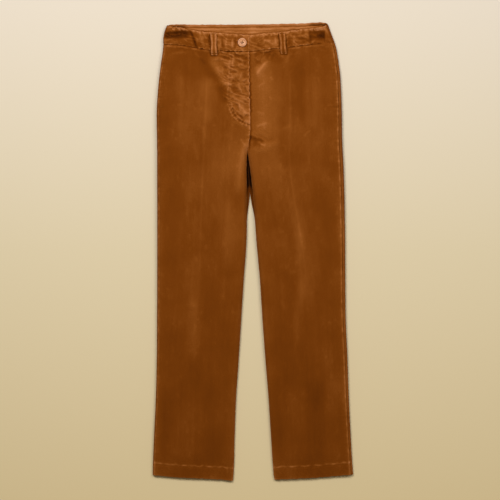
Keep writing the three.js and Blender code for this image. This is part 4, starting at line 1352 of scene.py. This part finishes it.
stitching = {}
for node, tubes in sewn.items():
    if tubes:
        stitching[node] = joined_tubes("stitching_" + node, tubes, len(STITCH_STATIONS))

# %% [markdown]
# ## The button
# A turned four-hole button with a raised rim. It starts as a cylinder whose top is inset and sunk, the holes
# are drilled by a boolean, and a bevel rounds every edge as the tumbling drum does. It is then turned to
# lie on the tab where the solid button lies.

# %% Button
BUTTON_X, BUTTON_Y = -25.5, 491
BUTTON_RADIUS, BUTTON_THICK, BUTTON_RIM, BUTTON_WELL, HOLE_RADIUS, HOLE_PITCH = 10, 3.4, 2.0, 1.1, 1.1, 4.4


def only(obj):
    bpy.ops.object.select_all(action="DESELECT")
    obj.select_set(True)
    bpy.context.view_layer.objects.active = obj


bpy.ops.object.select_all(action="DESELECT")
bpy.ops.mesh.primitive_cylinder_add(vertices=72, radius=BUTTON_RADIUS * MM, depth=BUTTON_THICK * MM,
                                    location=(0, 0, BUTTON_THICK / 2 * MM))
button = bpy.context.object
button.name = "horn_button"
bpy.ops.object.transform_apply(location=True)
bpy.ops.object.mode_set(mode="EDIT")
bpy.ops.mesh.select_all(action="DESELECT")
bpy.ops.object.mode_set(mode="OBJECT")
for face in button.data.polygons:
    face.select = face.normal.z > 0.9
bpy.ops.object.mode_set(mode="EDIT")
bpy.ops.mesh.select_mode(type="FACE")
bpy.ops.mesh.inset(thickness=BUTTON_RIM * MM)
bpy.ops.mesh.inset(thickness=0.8 * MM)
bpy.ops.transform.translate(value=(0, 0, -BUTTON_WELL * MM))
bpy.ops.object.mode_set(mode="OBJECT")
for sx, sy in ((1, 1), (-1, 1), (-1, -1), (1, -1)):
    bpy.ops.object.select_all(action="DESELECT")
    bpy.ops.mesh.primitive_cylinder_add(vertices=24, radius=HOLE_RADIUS * MM, depth=0.02,
                                        location=(sx * HOLE_PITCH / 2 * MM, sy * HOLE_PITCH / 2 * MM, 0))
    drill = bpy.context.object
    only(button)
    cut = button.modifiers.new("hole", "BOOLEAN")
    cut.operation = "DIFFERENCE"
    cut.object = drill
    bpy.ops.object.modifier_apply(modifier=cut.name)
    bpy.data.objects.remove(drill)
only(button)
edge = button.modifiers.new("tumbled edges", "BEVEL")
edge.width = 0.42 * MM
edge.segments = 3
edge.limit_method = "ANGLE"
edge.angle_limit = math.radians(35)
bpy.ops.object.modifier_apply(modifier=edge.name)
bpy.ops.object.shade_smooth_by_angle(angle=math.radians(40))


def tab_slope(dx, dy):
    reach = BUTTON_RADIUS
    ahead = plain_band(BUTTON_X + dx * reach, BUTTON_Y + dy * reach)
    return (ahead - plain_band(BUTTON_X - dx * reach, BUTTON_Y - dy * reach)) / (2 * reach)


def plain_band(x, y):
    return float(plain_top(x, y) + BAND_PROUD + lap_lift(x, y, BAND_LAP, BAND_LIFT, BAND_RAMP))


tab_normal = Vector((-tab_slope(1, 0), -tab_slope(0, 1), 1)).normalized()
seat = Vector((BUTTON_X, BUTTON_Y, plain_band(BUTTON_X, BUTTON_Y))) * MM + tab_normal * 0.5 * MM
to_tab = Matrix.Translation(seat) @ tab_normal.to_track_quat("Z", "Y").to_matrix().to_4x4()
button.data.transform(to_tab)

# %% Thread through the button
def strand(points, radius, rings=9):
    """A short tube through a few points, in the button's own frame, then laid on the tab."""
    points = curve_through(points, 0.05)
    at = points[np.linspace(0, len(points) - 1, rings).round().astype(int)]
    tangent = np.gradient(at, axis=0)
    tangent /= np.linalg.norm(tangent, axis=1, keepdims=True)
    side = np.cross(tangent, np.array([0.31, 0.77, 0.55]))
    side /= np.linalg.norm(side, axis=1, keepdims=True)
    up = np.cross(side, tangent)
    turn = np.linspace(0, 2 * math.pi, SIDES, endpoint=False)
    ring = radius * (np.cos(turn)[None, :, None] * side[:, None] + np.sin(turn)[None, :, None] * up[:, None])
    corners = (at[:, None] + ring).reshape(-1, 3)
    return np.array([to_tab @ Vector(corner * MM) for corner in corners]) / MM


half = HOLE_PITCH / 2
floor_of_well = BUTTON_THICK - BUTTON_WELL
strands = []
for aside in (-0.34, 0, 0.34):
    for sx, sy in ((1, 1), (1, -1)):
        a, b = np.array([-sx * half, -sy * half]), np.array([sx * half, sy * half])
        off = np.array([-(b - a)[1], (b - a)[0]]) / np.linalg.norm(b - a) * aside
        lift = floor_of_well + 0.45 + 0.35 * (sy < 0)
        strands.append(strand([
            [*(a + off), 0.3], [*(a + off), floor_of_well - 0.5], [*(a * 0.72 + off), lift],
            [*(off * 1.1), lift + 0.12],
            [*(b * 0.72 + off), lift], [*(b + off), floor_of_well - 0.5], [*(b + off), 0.3],
        ], 0.24, 13))
button_thread = joined_tubes("button_thread", strands, 13)
shank = []
for aside in range(6):
    turn = aside * math.pi / 3
    x, y = 0.9 * math.cos(turn), 0.9 * math.sin(turn)
    shank.append(strand([[x, y, 0.4], [x * 1.1, y * 1.1, -0.2], [x, y, -1.2]], 0.4, 5))
button_shank = joined_tubes("button_shank", shank, 5)

# %% [markdown]
# ## Materials
# Each material starts from what the real stuff is. Needlecord is cotton with cut pile in narrow ribs. It has
# almost no gloss, and its pile leans one way, so it shows long faint streaks and grows lighter where it
# wears.
# The cloth's tone also carries painted light and shade, which the colour ramp turns into lighter and darker
# brown. The ribs run along the grain, so the pattern reads the UV map.

# %% Helpers for materials
def linear(code):
    """An sRGB hex colour as linear RGBA."""
    values = [int(code[k:k + 2], 16) / 255 for k in (1, 3, 5)]
    return [v / 12.92 if v <= 0.04045 else ((v + 0.055) / 1.055) ** 2.4 for v in values] + [1]


def add(tree, kind, settings=None, **inputs):
    """One node with its settings, its values and its links."""
    node = tree.nodes.new(kind)
    for key, value in (settings or {}).items():
        setattr(node, key, value)
    for key, value in inputs.items():
        numbered = key[0] == "n" and key[1:].isdigit()
        socket = node.inputs[int(key[1:])] if numbered else node.inputs[key.replace("_", " ")]
        if isinstance(value, bpy.types.NodeSocket):
            tree.links.new(value, socket)
        else:
            socket.default_value = value
    return node


FLAT_NOISE = {"noise_dimensions": "2D"}
TIMES, PLUS, TIMES_PLUS = ({"operation": name} for name in ("MULTIPLY", "ADD", "MULTIPLY_ADD"))


def new_material(name):
    """A material with its node tree and its shader."""
    material = bpy.data.materials.new(name)
    material.use_nodes = True
    tree = material.node_tree
    return material, tree, tree.nodes["Principled BSDF"]


def with_stops(node, stops):
    """Gives a colour ramp its stops, from places and hex colours, and returns its colour."""
    while len(node.color_ramp.elements) < len(stops):
        node.color_ramp.elements.new(0.5)
    for element, (at, code) in zip(node.color_ramp.elements, stops):
        element.position = at
        element.color = linear(code)
    return node.outputs[0]


# %% Needlecord
# Needlecord has 16 or more ribs to the inch, so up to 1.6 mm each. They are drawn a little coarser and show
# as a fine grain.
WALE_MM = 1.8


def needlecord(name, stops, wale_depth=0.25):
    """Brown cotton cord: matt pile in fine ribs, a soft sheen at a low angle, paler where it wears, and
    painted light and shade from the cloth's tone.
    """
    material, tree, shader = new_material(name)
    grain = add(tree, "ShaderNodeUVMap", {"uv_map": "grain"}).outputs[0]
    axes = add(tree, "ShaderNodeSeparateXYZ", n0=grain).outputs
    long_grain = add(tree, "ShaderNodeVectorMath", TIMES, n0=grain, n1=(90, 5, 1)).outputs[0]
    streaks = add(tree, "ShaderNodeTexNoise", FLAT_NOISE, Detail=2.0, Scale=1.0, Vector=long_grain).outputs[0]
    mottle = add(tree, "ShaderNodeTexNoise", FLAT_NOISE, Detail=2.0, Scale=11.0, Vector=grain).outputs[0]
    fleck = add(tree, "ShaderNodeTexNoise", FLAT_NOISE, Detail=2.0, Scale=480.0, Vector=grain).outputs[0]
    wear_and_painted_light = add(tree, "ShaderNodeAttribute", {"attribute_name": "wear_and_painted_light"}).outputs["Fac"]
    streak_part = add(tree, "ShaderNodeMath", TIMES_PLUS, n0=streaks, n1=0.08, n2=0.46).outputs[0]
    mottle_part = add(tree, "ShaderNodeMath", TIMES_PLUS, n0=mottle, n1=0.2, n2=-0.1).outputs[0]
    fleck_part = add(tree, "ShaderNodeMath", TIMES_PLUS, n0=fleck, n1=0.3, n2=-0.15).outputs[0]
    wear_and_painted_light_part = add(tree, "ShaderNodeMath", TIMES, n0=wear_and_painted_light, n1=0.34).outputs[0]
    total = streak_part
    for part in (mottle_part, fleck_part, wear_and_painted_light_part):
        total = add(tree, "ShaderNodeMath", PLUS, n0=total, n1=part).outputs[0]
    colour = with_stops(add(tree, "ShaderNodeValToRGB", n0=total), stops)
    wave = add(tree, "ShaderNodeMath", TIMES, n0=axes[0], n1=2 * math.pi / (WALE_MM * MM)).outputs[0]
    ribs = add(tree, "ShaderNodeMath", {"operation": "SINE"}, n0=wave).outputs[0]
    pile = add(tree, "ShaderNodeMath", TIMES_PLUS, n0=fleck, n1=0.8, n2=ribs).outputs[0]
    bump = add(tree, "ShaderNodeBump", Height=pile, Distance=wale_depth * MM, Strength=0.5).outputs[0]
    tree.links.new(colour, shader.inputs["Base Color"])
    tree.links.new(bump, shader.inputs["Normal"])
    shader.inputs["Roughness"].default_value = 0.95
    shader.inputs["Specular IOR Level"].default_value = 0.04
    shader.inputs["Sheen Weight"].default_value = 0.1
    shader.inputs["Sheen Roughness"].default_value = 0.5
    shader.inputs["Sheen Tint"].default_value = linear("#d07a2c")
    return material


# The tone picks the colour: the lightest stops carry wear and painted highlight, the darkest painted shade
# and shadow, as in the gap below the fork and the valleys at the waistband's corners.
cord = needlecord("cotton needlecord, brown", [
    (0, "#1c0a01"), (0.1, "#4c2203"), (0.3, "#612f05"), (0.5, "#713908"), (0.7, "#884d1a"),
    (0.95, "#a96937"), (1.0, "#b27344"),
])

# %% Thread, pocketing, tape and horn
def plain_cloth(name, code, other, threads_per_mm, roughness):
    """A plain weave, drawn at its own spacing on the UV map."""
    material, tree, shader = new_material(name)
    grain = add(tree, "ShaderNodeUVMap", {"uv_map": "grain"}).outputs[0]
    axes = add(tree, "ShaderNodeSeparateXYZ", n0=grain).outputs
    waves = []
    for axis in (0, 1):
        turn = add(tree, "ShaderNodeMath", TIMES, n0=axes[axis],
                   n1=math.pi * threads_per_mm / MM).outputs[0]
        waves.append(add(tree, "ShaderNodeMath", {"operation": "SINE"}, n0=turn).outputs[0])
    weave = add(tree, "ShaderNodeMath", TIMES, n0=waves[0], n1=waves[1]).outputs[0]
    slub = add(tree, "ShaderNodeTexNoise", Scale=90.0, Detail=2.0, Vector=grain).outputs[0]
    colour = with_stops(add(tree, "ShaderNodeValToRGB", n0=slub), [(0.3, code), (0.7, other)])
    tree.links.new(colour, shader.inputs["Base Color"])
    tree.links.new(add(tree, "ShaderNodeBump", Height=weave, Distance=0.1 * MM, Strength=0.4).outputs[0],
                   shader.inputs["Normal"])
    shader.inputs["Roughness"].default_value = roughness
    return material


def plain(name, code, roughness, ior=1.5, gloss=0.2):
    """One colour all over, as dyed thread has."""
    material, _, shader = new_material(name)
    shader.inputs["Base Color"].default_value = linear(code)
    shader.inputs["Roughness"].default_value = roughness
    shader.inputs["IOR"].default_value = ior
    shader.inputs["Specular IOR Level"].default_value = gloss
    return material


def horn_material():
    """Polyester cast to look like horn: milky tan with faint darker clouds, tumbled to a soft gloss."""
    material, tree, shader = new_material("cast polyester, horn colour")
    place = add(tree, "ShaderNodeTexCoord").outputs["Object"]
    stretched = add(tree, "ShaderNodeVectorMath", TIMES, n0=place, n1=(1, 2.4, 1)).outputs[0]
    clouds = add(
        tree, "ShaderNodeTexNoise", Scale=110.0, Detail=3.0, Distortion=0.8, Vector=stretched
    ).outputs[0]
    stops = [(0.3, "#a96a3a"), (0.55, "#c4844f"), (0.75, "#d09660")]
    tree.links.new(with_stops(add(tree, "ShaderNodeValToRGB", n0=clouds), stops), shader.inputs["Base Color"])
    shader.inputs["Roughness"].default_value = 0.38
    shader.inputs["IOR"].default_value = 1.55
    return material


thread = plain("spun polyester thread, brown", "#7b4310", 0.95, gloss=0.02)
button_thread_material = plain("spun polyester thread, dark", "#6b3a14", 0.6)
pocketing = plain_cloth("cotton pocketing, tan", "#6b4a2c", "#745233", 2.0, 0.9)
tape = plain_cloth("woven zip tape, brown", "#5d3412", "#66391a", 2.5, 0.8)
horn = horn_material()

# %% [markdown]
# ## Which piece stands for which solid
# Every cloth piece replaces its plain solid, rides on the one body, and takes its material from its slot.

# %% Bodies, solids, slots and materials
SLOTS = {"front_panel": "legs", "back_panel": "legs", "waistband": "waistband", "belt_loop": "belt_loops",
         "pocket_bag": "pocketing", "fly_zip": "zip"}
for node, obj in pieces.items():
    slot_name = next(value for key, value in SLOTS.items() if node.startswith(key))
    obj.data.materials.append({"pocketing": pocketing, "zip": tape}.get(slot_name, cord))
    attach(obj, BODY)
    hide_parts(node)
for node, obj in stitching.items():
    obj.data.materials.append(thread)
    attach(obj, BODY)
for obj in (button, button_thread, button_shank):
    obj.data.materials.clear()
    obj.data.materials.append(horn if obj is button else button_thread_material)
    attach(obj, BODY)
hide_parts("button")

# %% [markdown]
# ## Floor, light and camera
# The photograph is taken from straight above over a pale surface that grows warmer and darker towards the
# hems. So the floor's colour turns a little warmer that way, two large soft lights stand beyond the waist,
# one on either side, and a weak warm light fills in from all sides.

# %% Floor
bpy.ops.object.select_all(action="DESELECT")
bpy.ops.mesh.primitive_plane_add(size=6, location=(0, 0, -0.0004))
floor = bpy.context.object
floor.name = "floor"
bpy.ops.object.transform_apply(location=True)
paper, paper_tree, paper_shader = new_material("matt paper, warm white")
paper_place = add(paper_tree, "ShaderNodeTexCoord").outputs["Object"]
paper_y = add(paper_tree, "ShaderNodeSeparateXYZ", n0=paper_place).outputs[1]
paper_fall = add(paper_tree, "ShaderNodeMapRange", Value=paper_y, From_Min=0.6, From_Max=-0.6).outputs[0]
paper_ramp = add(paper_tree, "ShaderNodeValToRGB", n0=paper_fall)
paper_colour = with_stops(paper_ramp, [(0.0, "#d9d0c3"), (0.5, "#d5c8aa"), (1.0, "#d6c49b")])
paper_tree.links.new(paper_colour, paper_shader.inputs["Base Color"])
paper_shader.inputs["Roughness"].default_value = 0.9
paper_shader.inputs["Specular IOR Level"].default_value = 0.1
floor.data.materials.append(paper)

# %% Light
def soft_light(name, place, aim, size, power, colour):
    light = bpy.data.lights.new(name, "AREA")
    light.shape = "DISK"
    light.size = size
    light.energy = power
    light.color = colour
    obj = bpy.data.objects.new(name, light)
    to_aim = (Vector(aim) - Vector(place)).to_track_quat("-Z", "Y").to_matrix().to_4x4()
    obj.matrix_world = Matrix.Translation(place) @ to_aim
    bpy.context.collection.objects.link(obj)


soft_light("window", (-0.75, 1.3, 2.5), (0, 0, 0), 1.2, 55, (1, 0.98, 0.95))
soft_light("second window", (1.3, 1.0, 2.7), (0, 0.1, 0), 1.8, 41, (1, 0.98, 0.95))
world = bpy.data.worlds.new("room")
world.use_nodes = True
world.node_tree.nodes["Background"].inputs["Color"].default_value = (1, 0.86, 0.62, 1)
world.node_tree.nodes["Background"].inputs["Strength"].default_value = 0.22
bpy.context.scene.world = world
view = bpy.context.scene.view_settings
view.view_transform = "Standard"
view.look = "None"
view.exposure = 0
view.gamma = 1

# %% Camera
CAMERA_HEIGHT, FRAME_WIDTH = 6.0, 1.175
lens = bpy.data.cameras.new("camera")
lens.sensor_width = 36
lens.lens = 36 * (CAMERA_HEIGHT - 0.01) / FRAME_WIDTH
camera = bpy.data.objects.new("camera", lens)
camera.location = (-7.05 * MM, 4.0 * MM, CAMERA_HEIGHT)
bpy.context.collection.objects.link(camera)
bpy.context.scene.camera = camera
